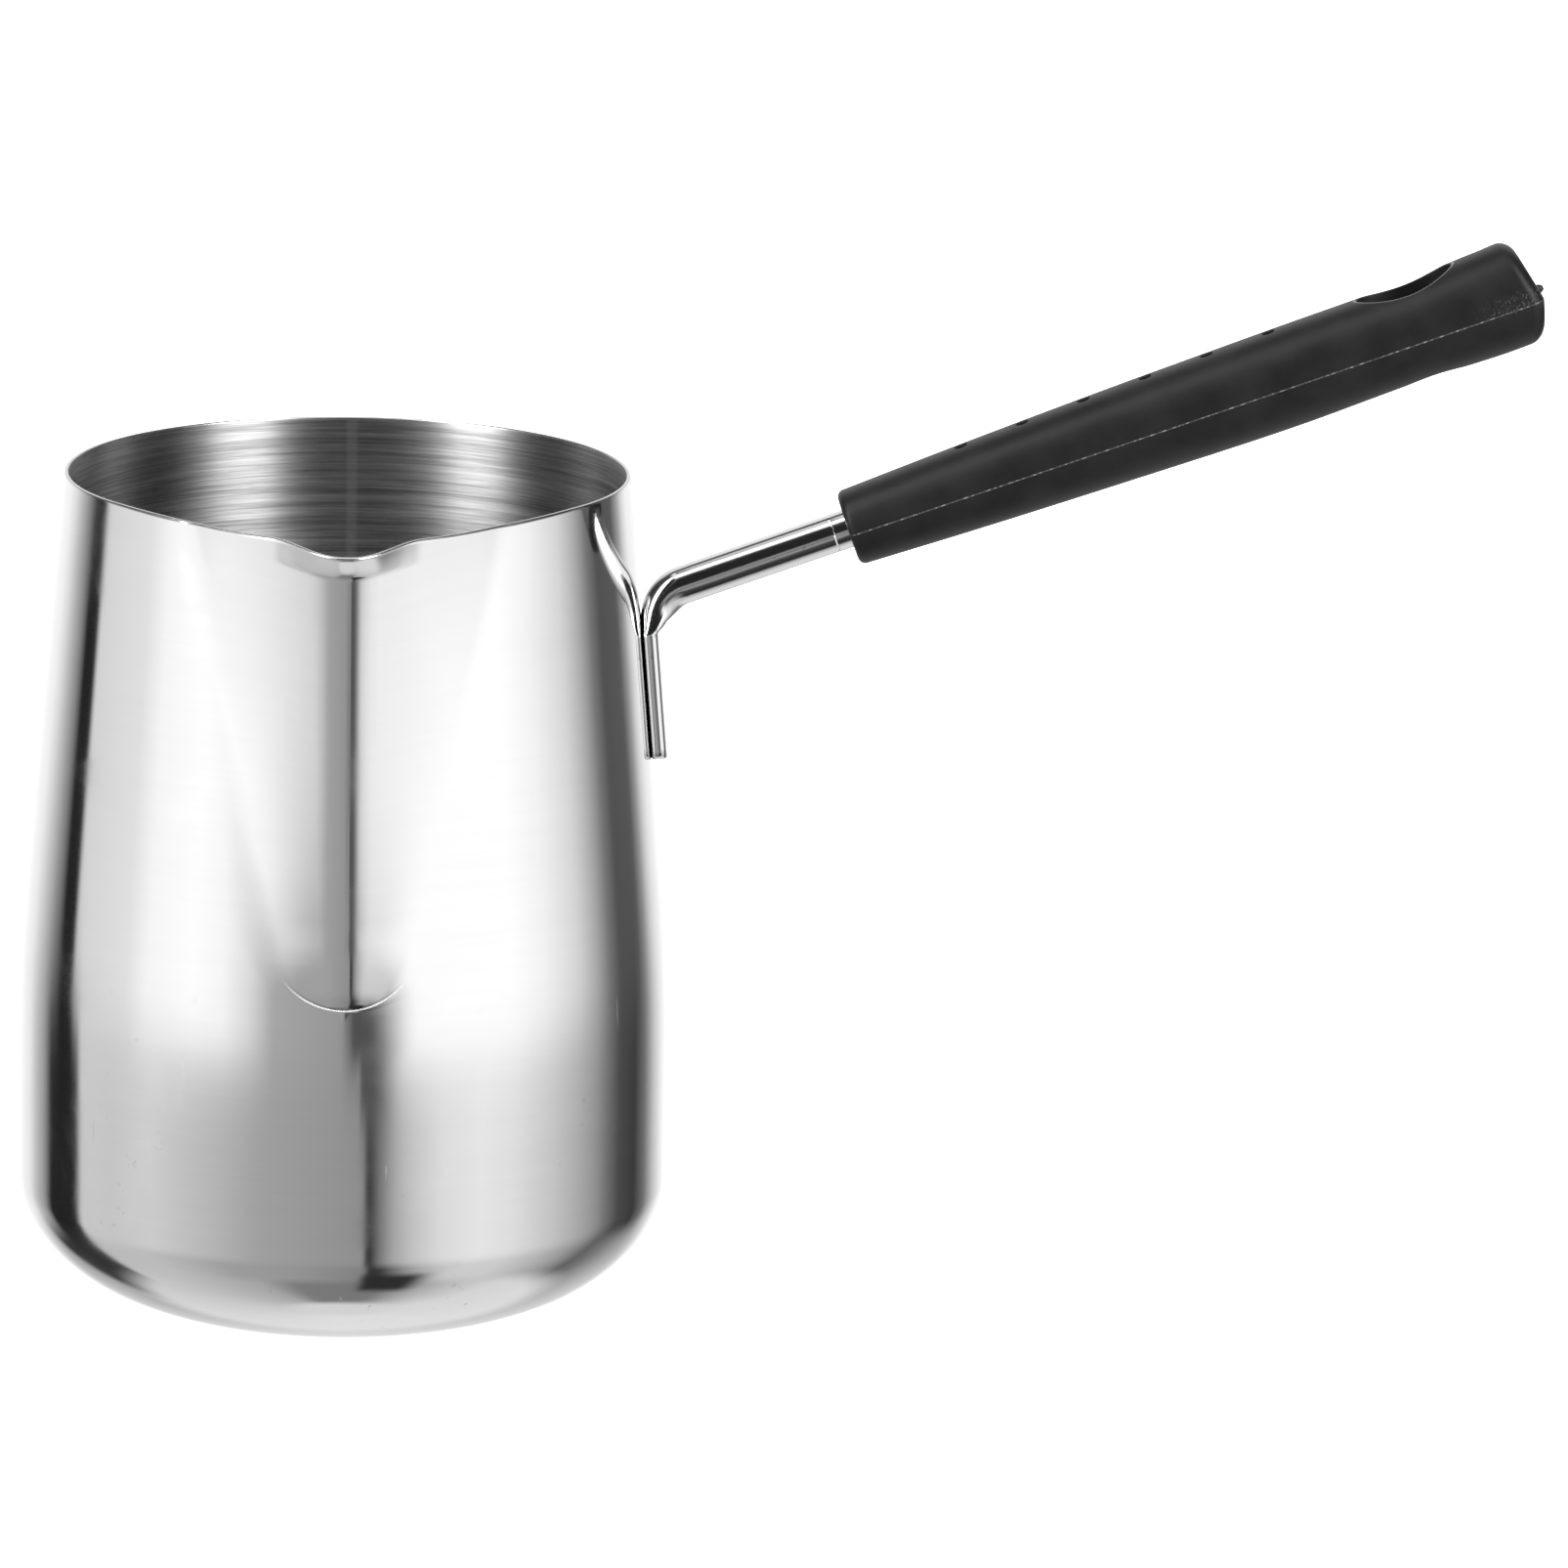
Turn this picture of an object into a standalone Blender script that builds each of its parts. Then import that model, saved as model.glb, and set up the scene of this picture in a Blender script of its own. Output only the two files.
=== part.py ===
"""Candle melting pot: a deep-drawn steel vessel with a pressed pouring spout, a bent and
flattened steel handle tube, and a moulded plastic grip with a hang hole.

Metres, +Z up.  The origin is the centre of the flat base.  The spout points along -Y and
the handle rises along +X.
"""
import math

import bmesh
import bpy
import numpy as np
from mathutils import Matrix

# ---------------------------------------------------------------- driving dimensions
MM = 0.001
TOUCH_GAP = 0.30 * MM

# vessel
POT_HEIGHT = 128.5 * MM
POT_RADIUS = 50.0 * MM
BASE_FLAT_RADIUS = 26.7 * MM
CORNER_HEIGHT = 17.95 * MM
CORNER_EXPONENT = 1.9
TAPER_SLOPE = 0.088
TAPER_START_Z = 50.3 * MM
TAPER_BLEND = 9.4 * MM
WALL = 0.6 * MM

# spout, pressed out of the front wall
SPOUT_BOTTOM_Z = 56.6 * MM
SPOUT_HALF_WIDTH = 10.4 * MM
SPOUT_WIDENING = 0.155
SPOUT_WIDENING_GROWTH = 0.30
SPOUT_ROUND_HEIGHT = 10.0 * MM
SPOUT_FACE_ANGLE = math.radians(20.5)
SPOUT_FACE_EASE = math.radians(9.0)
SPOUT_FACE_EASE_HEIGHT = 14.0 * MM
SPOUT_FACE_TURN = math.radians(0.10) / MM
SPOUT_BULGE = math.radians(0.22) / MM
SPOUT_BULGE_START = 12.0 * MM
SPOUT_NOSE_RADIUS = 12.0 * MM
SPOUT_CREASE_BLEND = 0.14 * MM
SPOUT_FOOT_SLOPE = 0.10
SPOUT_PASSES = 40
LIP_FLARE = 2.3 * MM
LIP_FLARE_HEIGHT = 3.4 * MM
LIP_FLARE_POWER = 1.15
LIP_HALF_ANGLE = math.radians(14.0)
LIP_FADE_ANGLE = math.radians(13.3)
LIP_DIP = 1.7 * MM
RIM_DIP = 1.0 * MM
RIM_DIP_HALF_ANGLE = math.radians(54.0)
RIM_DIP_FADE_ANGLE = math.radians(38.0)
DIP_DEPTH = 25.0 * MM

# handle axis, in the XZ plane
HANDLE_TILT = math.radians(19.8)
HANDLE_START = (74.78 * MM, 0.0, 119.74 * MM)

# handle tube
TUBE_RADIUS = 3.0 * MM
TUBE_WALL = 0.9 * MM
TUBE_IN_GRIP = 60.0 * MM
COLLAR_STEP = 0.07 * MM
TAIL_THICKNESS = 2.3 * MM
TAIL_BOTTOM_Z = 84.3 * MM
TAIL_CORNER = 1.6 * MM
BEND_OUTER_RADIUS = 8.2 * MM
FLATTEN_START = -1.6 * MM
FLATTEN_LENGTH = 2.4 * MM
FLAT_EXPONENT = 3.6

# grip, along the handle axis
GRIP_FRONT = 1.9 * MM
GRIP_END = 113.6 * MM
GRIP_STATIONS = (1.9 * MM, 20.0 * MM, 45.0 * MM, 72.0 * MM, 94.0 * MM, 106.0 * MM, 113.6 * MM)
GRIP_HALF_WIDTHS = (6.2 * MM, 6.7 * MM, 7.2 * MM, 7.45 * MM, 7.5 * MM, 7.4 * MM, 7.35 * MM)
GRIP_UPPER_HEIGHTS = (5.75 * MM, 6.5 * MM, 7.3 * MM, 7.85 * MM, 8.25 * MM, 8.95 * MM, 9.3 * MM)
GRIP_LOWER_HEIGHTS = (5.85 * MM, 6.45 * MM, 7.0 * MM, 7.35 * MM, 6.9 * MM, 7.15 * MM, 7.0 * MM)
GRIP_DRAFT = 0.06
GRIP_FULLNESS = 2.4
GRIP_FRONT_ROUND = 1.1 * MM
GRIP_END_ROUND = 2.2 * MM
GRIP_END_DRAFT = math.tan(math.radians(13.0))
BORE_RADIUS = TUBE_RADIUS + COLLAR_STEP + TOUCH_GAP
BORE_END = TUBE_IN_GRIP + 1.0 * MM
HOLE_CENTRE = 94.3 * MM
HOLE_HALF_LENGTH = 7.7 * MM
HOLE_HALF_WIDTH = 4.2 * MM
HOLE_NARROWING = 0.14
DIMPLE_FIRST = 22.3 * MM
DIMPLE_PITCH = 10.0 * MM
DIMPLE_COUNT = 6
DIMPLE_RADIUS = 0.85 * MM
DIMPLE_DEPTH = 1.2 * MM

# mesh fineness
POT_SEGMENTS = 72
ANGLE_CROWDING = 0.60
CORNER_ROWS = 7
RIM_BAND = 6.0 * MM
TUBE_SIDES = 20
GRIP_SIDES = 32
ROUND_STEPS = 3


# ---------------------------------------------------------------- small helpers
def smoothstep(value):
    """Ease from 0 to 1 as value runs from 0 to 1."""
    t = min(max(value, 0.0), 1.0)
    return t * t * (3.0 - 2.0 * t)


def cubic_through(stations, values, at):
    """Catmull-Rom curve through (stations, values), read at one station."""
    stations = np.array(stations)
    values = np.array(values)
    slopes = np.gradient(values, stations)
    i = int(np.clip(np.searchsorted(stations, at) - 1, 0, len(stations) - 2))
    span = stations[i + 1] - stations[i]
    t = (at - stations[i]) / span
    start = (1 + 2 * t) * (1 - t) ** 2 * values[i] + t * (1 - t) ** 2 * span * slopes[i]
    end = t * t * (3 - 2 * t) * values[i + 1] + t * t * (t - 1) * span * slopes[i + 1]
    return float(start + end)


def signed_power(value, power):
    """Raise the size of a number to a power and keep its sign."""
    return math.copysign(abs(value) ** power, value)


def principled(name, colour, roughness, metallic):
    """A plain Principled BSDF material."""
    material = bpy.data.materials.new(name)
    material.use_nodes = True
    shader = material.node_tree.nodes["Principled BSDF"]
    shader.inputs["Base Color"].default_value = (*colour, 1.0)
    shader.inputs["Roughness"].default_value = roughness
    shader.inputs["Metallic"].default_value = metallic
    return material


def link_object(name, bm, material, sharp_angle=math.radians(35.0)):
    """Make a smooth-shaded object of a bmesh and free the bmesh."""
    mesh = bpy.data.meshes.new(name)
    bm.to_mesh(mesh)
    bm.free()
    mesh.shade_smooth()
    mesh.set_sharp_from_angle(angle=sharp_angle)
    mesh.materials.append(material)
    obj = bpy.data.objects.new(name, mesh)
    bpy.context.scene.collection.objects.link(obj)
    return obj


def loft(bm, rings, cap_end=True):
    """Skin rings of points that turn left about the way they advance; close the ends."""
    loops = [[bm.verts.new(point) for point in ring] for ring in rings]
    count = len(loops[0])
    for low, high in zip(loops, loops[1:]):
        for i in range(count):
            j = (i + 1) % count
            bm.faces.new((low[i], low[j], high[j], high[i]))
    bm.faces.new(list(reversed(loops[0])))
    if cap_end:
        bm.faces.new(loops[-1])
    return loops


# ---------------------------------------------------------------- vessel
def wall_radius(z):
    """Outer radius of the round wall: a cylinder that eases into a taper."""
    rise = z - TAPER_START_Z
    return POT_RADIUS - TAPER_SLOPE * (rise + math.hypot(rise, TAPER_BLEND)) / 2.0


def spout_half_width(rise):
    """Half the width of the spout's pressed outline, a height above its round lower end."""
    side = SPOUT_HALF_WIDTH + SPOUT_WIDENING * rise + SPOUT_WIDENING_GROWTH * rise * rise
    short = 1.0 - min(rise / SPOUT_ROUND_HEIGHT, 1.0)
    return side * math.sqrt(1.0 - short * short)


def spout_face_angles(rise):
    """How far each face of the spout turns from straight ahead, beside its nose and its edge."""
    ease = SPOUT_FACE_EASE * math.exp(-rise / SPOUT_FACE_EASE_HEIGHT)
    inner = SPOUT_FACE_ANGLE - ease + SPOUT_FACE_TURN * rise
    return inner, inner + SPOUT_BULGE * max(rise - SPOUT_BULGE_START, 0.0)


def spout_depth(across, wall, half_width, inner, outer):
    """How far forward of the axis the spout lies, at a distance across from its middle."""
    edge = math.sqrt(wall * wall - half_width * half_width)
    nose = min(SPOUT_NOSE_RADIUS * math.sin(inner), half_width)
    beyond = max(across - nose, 0.0) / max(half_width - nose, 1e-6)
    steep = math.tan(outer)
    slope = math.tan(inner) + (steep - math.tan(inner)) * min(beyond, 1.0)
    face = edge + (half_width - max(across, nose)) * 0.5 * (slope + steep)
    if across >= nose:
        return face
    round_top = math.sqrt(SPOUT_NOSE_RADIUS ** 2 - across ** 2)
    return face + round_top - math.sqrt(SPOUT_NOSE_RADIUS ** 2 - nose ** 2)


def spout_radius(turn, z, wall):
    """Radius of the spout's two bulged faces and the round nose between them."""
    rise = max(z - SPOUT_BOTTOM_Z, 0.0)
    below = SPOUT_FOOT_SLOPE * max(SPOUT_BOTTOM_Z - z, 0.0)
    inner, outer = spout_face_angles(rise)
    half_width = spout_half_width(rise)
    if turn >= outer:
        edge = math.sqrt(wall * wall - half_width * half_width)
        foot = edge * math.cos(outer) + half_width * math.sin(outer)
        return foot * math.cos(turn - outer) - below
    radius = wall
    for _ in range(SPOUT_PASSES):
        across = radius * math.sin(turn)
        radius = spout_depth(across, wall, half_width, inner, outer) / math.cos(turn)
    return radius - below


def spouted_radius(angle, z):
    """Outer radius at an angle from the spout: wall and spout, with a soft crease between."""
    wall = wall_radius(z)
    spout = spout_radius(abs(angle), z, wall)
    blend = max(SPOUT_CREASE_BLEND - abs(spout - wall), 0.0) / SPOUT_CREASE_BLEND
    return max(wall, spout) + 0.25 * SPOUT_CREASE_BLEND * blend * blend


def lip_share(angle):
    """1 at the spout's lip, easing to 0 beside it."""
    return smoothstep((LIP_HALF_ANGLE - abs(angle)) / LIP_FADE_ANGLE)


def rim_dip(angle):
    """How far the rim is drawn down at an angle from the spout."""
    wide = smoothstep((RIM_DIP_HALF_ANGLE - abs(angle)) / RIM_DIP_FADE_ANGLE)
    return RIM_DIP * wide + LIP_DIP * lip_share(angle)


def vessel_point(angle, z):
    """Point of the outer surface; z is the height before the rim is drawn down."""
    radius = spouted_radius(angle, z)
    rise = max(z - (POT_HEIGHT - LIP_FLARE_HEIGHT), 0.0) / LIP_FLARE_HEIGHT
    radius += LIP_FLARE * lip_share(angle) * rise ** LIP_FLARE_POWER
    drop = rim_dip(angle) * smoothstep((z - POT_HEIGHT + DIP_DEPTH) / DIP_DEPTH)
    return (radius * math.sin(angle), -radius * math.cos(angle), z - drop)


def vessel_angles():
    """Angles round the vessel, closer together on the spout."""
    turns = [2.0 * math.pi * i / POT_SEGMENTS - math.pi for i in range(POT_SEGMENTS)]
    return [turn - ANGLE_CROWDING * math.sin(turn) for turn in turns]


def corner_ring(angles, turn):
    """Ring on the rounded base corner; turn runs from 0 at the base to pi/2."""
    power = 2.0 / CORNER_EXPONENT
    width = wall_radius(CORNER_HEIGHT) - BASE_FLAT_RADIUS
    radius = BASE_FLAT_RADIUS + width * math.sin(turn) ** power
    z = CORNER_HEIGHT * (1.0 - math.cos(turn) ** power)
    return [(radius * math.sin(a), -radius * math.cos(a), z) for a in angles]


def wall_heights():
    """Heights of the wall's rings, closer together at the spout's lower end and at the rim."""
    round_top = SPOUT_BOTTOM_Z + SPOUT_ROUND_HEIGHT
    rim_start = POT_HEIGHT - RIM_BAND
    spans = ((CORNER_HEIGHT, SPOUT_BOTTOM_Z, 4), (SPOUT_BOTTOM_Z, round_top, 6),
             (round_top, rim_start, 6), (rim_start, POT_HEIGHT, 3))
    heights = [low + (high - low) * i / count for low, high, count in spans
               for i in range(count)]
    return heights + [POT_HEIGHT]


def make_pot_body():
    """Thin-walled vessel, open at the top."""
    angles = vessel_angles()
    turns = [0.5 * math.pi * i / CORNER_ROWS for i in range(CORNER_ROWS)]
    rings = [corner_ring(angles, turn) for turn in turns]
    rings += [[vessel_point(a, z) for a in angles] for z in wall_heights()]
    bm = bmesh.new()
    loft(bm, rings, cap_end=False)
    steel = principled("polished_steel", (0.78, 0.78, 0.79), 0.14, 1.0)
    pot = link_object("pot_body", bm, steel)
    shell = pot.modifiers.new("wall", "SOLIDIFY")
    shell.thickness = WALL
    shell.offset = -1.0
    shell.use_even_offset = True
    return pot


# ---------------------------------------------------------------- handle tube
def handle_vectors():
    """Unit vectors along and across the handle axis, as (x, z)."""
    along = np.array((math.cos(HANDLE_TILT), math.sin(HANDLE_TILT)))
    across = np.array((-math.sin(HANDLE_TILT), math.cos(HANDLE_TILT)))
    return along, across


def tail_line():
    """Point, direction and outward normal of the tail's wall side, as (x, z)."""
    low = np.array((wall_radius(TAIL_BOTTOM_Z) + TOUCH_GAP, TAIL_BOTTOM_Z))
    high_z = TAIL_BOTTOM_Z + 20.0 * MM
    high = np.array((wall_radius(high_z) + TOUCH_GAP, high_z))
    direction = (high - low) / np.linalg.norm(high - low)
    return low, direction, np.array((direction[1], -direction[0]))


def bend_centre():
    """Centre of the bend, tangent to the tail line and to the tube's upper side."""
    low, direction, normal = tail_line()
    along, across = handle_vectors()
    start = np.array((HANDLE_START[0], HANDLE_START[2]))
    offset = start + (TUBE_RADIUS - BEND_OUTER_RADIUS) * across
    offset = offset - (low + BEND_OUTER_RADIUS * normal)
    climb, _ = np.linalg.solve(np.column_stack((direction, -along)), offset)
    return low + BEND_OUTER_RADIUS * normal + climb * direction, climb


def section_thickness(length):
    """Tube thickness in the bend's plane, by length from the start of the bend."""
    if length <= FLATTEN_START:
        return TAIL_THICKNESS
    full = 2.0 * TUBE_RADIUS - TAIL_THICKNESS
    return TAIL_THICKNESS + full * (1.0 - math.exp((FLATTEN_START - length) / FLATTEN_LENGTH))


def tube_ring(edge, inward, thickness, trim=1.0):
    """Rounded section that starts at edge and lies along inward, as (x, z) vectors."""
    flat = (2.0 * TUBE_RADIUS - thickness) / (2.0 * TUBE_RADIUS - TAIL_THICKNESS)
    width = math.sqrt(2.0 * TUBE_RADIUS ** 2 - 0.25 * thickness ** 2) * trim
    power = 2.0 / (2.0 + (FLAT_EXPONENT - 2.0) * flat)
    points = []
    for i in range(TUBE_SIDES):
        angle = 2.0 * math.pi * i / TUBE_SIDES
        y = -width * signed_power(math.cos(angle), power)
        depth = 0.5 * thickness * (1.0 + signed_power(math.sin(angle), power))
        hug = flat * y * y / (2.0 * wall_radius(TAIL_BOTTOM_Z))
        x, z = edge + (depth - hug) * inward
        points.append((x, y, z))
    return points


def tail_rings(climb):
    """Rings of the flattened tail, from its rounded lower end to the bend."""
    low, direction, normal = tail_line()
    rings = []
    for i in range(ROUND_STEPS + 1):
        turn = 0.5 * math.pi * i / ROUND_STEPS
        rise = TAIL_CORNER * (1.0 - math.cos(turn))
        trim = 1.0 - 0.35 * (1.0 - math.sin(turn))
        rings.append(tube_ring(low + rise * direction, normal, TAIL_THICKNESS, trim))
    for rise in (climb * 0.5, climb + FLATTEN_START, climb + 0.6 * FLATTEN_START,
                 climb + 0.25 * FLATTEN_START):
        thickness = section_thickness(rise - climb)
        rings.append(tube_ring(low + rise * direction, normal, thickness))
    return rings


def bend_rings(centre, steps=9):
    """Rings round the bend, from the tail's direction to the handle's."""
    _, direction, _ = tail_line()
    first = math.atan2(direction[1], direction[0])
    rings = []
    for i in range(steps):
        heading = first + (HANDLE_TILT - first) * i / steps
        inward = np.array((math.sin(heading), -math.cos(heading)))
        length = BEND_OUTER_RADIUS * (first - heading)
        edge = centre - BEND_OUTER_RADIUS * inward
        rings.append(tube_ring(edge, inward, section_thickness(length)))
    return rings


def round_ring(distance, radius):
    """Round ring about the handle axis, at a distance from its start."""
    along, across = handle_vectors()
    middle = np.array((HANDLE_START[0], HANDLE_START[2])) + distance * along
    points = []
    for i in range(TUBE_SIDES):
        angle = 2.0 * math.pi * i / TUBE_SIDES
        x, z = middle - radius * math.sin(angle) * across
        points.append((x, -radius * math.cos(angle), z))
    return points


def make_handle_tube():
    """Bent tube: welded flat tail, bend, straight run with a stop collar, open end."""
    centre, climb = bend_centre()
    along, _ = handle_vectors()
    start = np.array((HANDLE_START[0], HANDLE_START[2]))
    bend_end = float(np.dot(centre - start, along))
    rings = tail_rings(climb) + bend_rings(centre)
    collar = GRIP_FRONT - 2.2 * MM
    outer = ((bend_end + 3.0 * MM, 0.0), (collar, 0.0), (collar + 0.1 * MM, COLLAR_STEP),
             (TUBE_IN_GRIP, COLLAR_STEP))
    rings += [round_ring(distance, TUBE_RADIUS + step) for distance, step in outer]
    bore = TUBE_RADIUS - TUBE_WALL
    rings += [round_ring(TUBE_IN_GRIP, bore), round_ring(bend_end + 3.0 * MM, bore)]
    rings.append(round_ring(bend_end + 1.0 * MM, 0.3 * bore))
    bm = bmesh.new()
    loft(bm, rings)
    steel = principled("handle_steel", (0.72, 0.72, 0.73), 0.18, 1.0)
    return link_object("handle_tube", bm, steel, math.radians(40.0))


# ---------------------------------------------------------------- grip
def grip_ring(distance, inset=0.0, end_draft=0.0):
    """Section of the grip: two arcs that meet in a slight crease at the parting line."""
    half_width = cubic_through(GRIP_STATIONS, GRIP_HALF_WIDTHS, distance) - inset
    upper = cubic_through(GRIP_STATIONS, GRIP_UPPER_HEIGHTS, distance) - inset
    lower = cubic_through(GRIP_STATIONS, GRIP_LOWER_HEIGHTS, distance) - inset
    power = 2.0 / GRIP_FULLNESS
    points = []
    for i in range(GRIP_SIDES):
        angle = 2.0 * math.pi * i / GRIP_SIDES
        rise = signed_power(math.sin(angle), power)
        y = half_width * signed_power(math.cos(angle), power) * (1.0 - GRIP_DRAFT * abs(rise))
        z = rise * (upper if rise > 0.0 else lower)
        points.append((distance - end_draft * abs(z), y, z))
    return points


def bore_ring(distance, radius):
    """Ring of the blind bore that takes the tube."""
    turns = [2.0 * math.pi * i / GRIP_SIDES for i in range(GRIP_SIDES)]
    return [(distance, radius * math.cos(a), radius * math.sin(a)) for a in turns]


def grip_rings():
    """Rings from the inner end of the bore, out round the front, to the domed end."""
    rings = [bore_ring(BORE_END, BORE_RADIUS), bore_ring(GRIP_FRONT, BORE_RADIUS)]
    for i in range(ROUND_STEPS + 1):
        turn = 0.5 * math.pi * i / ROUND_STEPS
        inset = GRIP_FRONT_ROUND * (1.0 - math.sin(turn))
        rings.append(grip_ring(GRIP_FRONT + GRIP_FRONT_ROUND * (1.0 - math.cos(turn)), inset))
    first = GRIP_FRONT + 6.0 * MM
    last = GRIP_END - GRIP_END_ROUND - 4.5 * MM
    count = 16
    for i in range(count + 1):
        rings.append(grip_ring(first + (last - first) * i / count))
    for i in range(ROUND_STEPS + 2):
        turn = 0.5 * math.pi * i / (ROUND_STEPS + 1)
        distance = GRIP_END - GRIP_END_ROUND * (1.0 - math.sin(turn))
        rings.append(grip_ring(distance, GRIP_END_ROUND * (1.0 - math.cos(turn)), GRIP_END_DRAFT))
    return rings


def cap_end_with_ridge(bm, loop):
    """Close the end with flats above and below the parting line."""
    half = GRIP_SIDES // 2
    bm.faces.new([loop[i] for i in range(half + 1)])
    bm.faces.new([loop[i % GRIP_SIDES] for i in range(half, GRIP_SIDES + 1)])


def cutter(name, bm):
    """A hidden wire object that a Boolean takes away."""
    obj = link_object(name, bm, bpy.data.materials["black_plastic"])
    obj.hide_render = True
    obj.display_type = "WIRE"
    return obj


def make_hole_cutter(sides=28, reach=14.0 * MM):
    """Elliptic bar that cuts the hang hole, a little narrower at the underside."""
    rings = []
    for z, share in ((-reach, 1.0 - HOLE_NARROWING), (reach, 1.0)):
        turns = [2.0 * math.pi * i / sides for i in range(sides)]
        rings.append([(HOLE_CENTRE + share * HOLE_HALF_LENGTH * math.cos(a),
                       share * HOLE_HALF_WIDTH * math.sin(a), z) for a in turns])
    bm = bmesh.new()
    loft(bm, rings)
    return cutter("hang_hole_cutter", bm)


def make_dimple_cutter(sides=10, reach=3.0 * MM):
    """Row of small round pegs that cut the dimples along the crest."""
    bm = bmesh.new()
    for i in range(DIMPLE_COUNT):
        distance = DIMPLE_FIRST + i * DIMPLE_PITCH
        crest = cubic_through(GRIP_STATIONS, GRIP_UPPER_HEIGHTS, distance)
        middle = crest - DIMPLE_DEPTH + 0.5 * reach
        bmesh.ops.create_cone(bm, cap_ends=True, segments=sides, radius1=DIMPLE_RADIUS,
                              radius2=DIMPLE_RADIUS, depth=reach,
                              matrix=Matrix.Translation((distance, 0.0, middle)))
    return cutter("dimple_cutter", bm)


def make_handle_grip(handle):
    """Moulded grip with a blind bore, hang hole and crest dimples."""
    bm = bmesh.new()
    loops = loft(bm, grip_rings(), cap_end=False)
    cap_end_with_ridge(bm, loops[-1])
    plastic = principled("black_plastic", (0.035, 0.035, 0.037), 0.42, 0.0)
    grip = link_object("handle_grip", bm, plastic, math.radians(30.0))
    grip.parent = handle
    for tool in (make_hole_cutter(), make_dimple_cutter()):
        tool.parent = handle
        cut = grip.modifiers.new(tool.name, "BOOLEAN")
        cut.operation = "DIFFERENCE"
        cut.solver = "EXACT"
        cut.object = tool
    return grip


# ---------------------------------------------------------------- assembly
def clear_scene():
    """Remove whatever the scene holds."""
    for obj in list(bpy.data.objects):
        bpy.data.objects.remove(obj, do_unlink=True)


def make_handle_axis():
    """Empty on the handle axis, with +X pointing along the handle."""
    handle = bpy.data.objects.new("handle_axis", None)
    handle.location = HANDLE_START
    handle.rotation_euler = (0.0, -HANDLE_TILT, 0.0)
    bpy.context.scene.collection.objects.link(handle)
    return handle


def main():
    clear_scene()
    make_pot_body()
    make_handle_tube()
    make_handle_grip(make_handle_axis())


main()
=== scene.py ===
import math

import bmesh
import bpy
import numpy as np
from mathutils import Matrix, Vector


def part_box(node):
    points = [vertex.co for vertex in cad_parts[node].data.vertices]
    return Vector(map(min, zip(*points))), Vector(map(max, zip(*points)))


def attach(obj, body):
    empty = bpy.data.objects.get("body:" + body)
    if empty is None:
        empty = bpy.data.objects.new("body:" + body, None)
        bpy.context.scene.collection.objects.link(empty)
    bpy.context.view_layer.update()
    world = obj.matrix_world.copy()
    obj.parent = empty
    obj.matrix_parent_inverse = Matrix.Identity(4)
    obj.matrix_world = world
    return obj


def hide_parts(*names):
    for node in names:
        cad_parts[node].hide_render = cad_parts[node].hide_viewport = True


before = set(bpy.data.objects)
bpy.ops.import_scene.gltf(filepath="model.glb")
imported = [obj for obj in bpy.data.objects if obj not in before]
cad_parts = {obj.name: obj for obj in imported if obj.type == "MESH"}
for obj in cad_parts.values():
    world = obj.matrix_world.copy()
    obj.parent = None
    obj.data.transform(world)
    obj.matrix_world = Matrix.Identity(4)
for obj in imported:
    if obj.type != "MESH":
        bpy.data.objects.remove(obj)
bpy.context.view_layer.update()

MM = 0.001

# ---------------------------------------------------------------- places read from the frame
POT_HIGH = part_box("pot_body")[1]
TUBE_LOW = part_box("handle_tube")[0]

# ---------------------------------------------------------------- vessel dimensions
POT_HEIGHT = POT_HIGH.z
POT_RADIUS = 50.0 * MM
BASE_FLAT_RADIUS = 26.7 * MM
CORNER_HEIGHT = 17.95 * MM
CORNER_EXPONENT = 1.9
TAPER_SLOPE = 0.088
TAPER_START_Z = 50.3 * MM
TAPER_BLEND = 9.4 * MM
WALL = 0.6 * MM
SPOUT_BOTTOM_Z = 56.6 * MM
SPOUT_HALF_WIDTH = 10.4 * MM
SPOUT_WIDENING = 0.155
SPOUT_WIDENING_GROWTH = 0.30
SPOUT_ROUND_HEIGHT = 10.0 * MM
SPOUT_FACE_ANGLE = math.radians(20.5)
SPOUT_FACE_EASE = math.radians(9.0)
SPOUT_FACE_EASE_HEIGHT = 14.0 * MM
SPOUT_FACE_TURN = math.radians(0.10) / MM
SPOUT_BULGE = math.radians(0.22) / MM
SPOUT_BULGE_START = 12.0 * MM
SPOUT_NOSE_RADIUS = 12.0 * MM
SPOUT_CREASE_BLEND = 0.20 * MM
SPOUT_FOOT_SLOPE = 0.10
SPOUT_PASSES = 40
LIP_FLARE = 2.3 * MM
LIP_FLARE_HEIGHT = 3.4 * MM
LIP_FLARE_POWER = 1.15
LIP_HALF_ANGLE = math.radians(14.0)
LIP_FADE_ANGLE = math.radians(13.3)
LIP_DIP = 1.7 * MM
RIM_DIP = 1.0 * MM
RIM_DIP_HALF_ANGLE = math.radians(54.0)
RIM_DIP_FADE_ANGLE = math.radians(38.0)
DIP_DEPTH = 25.0 * MM
RIM_CROWN = 0.35

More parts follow.
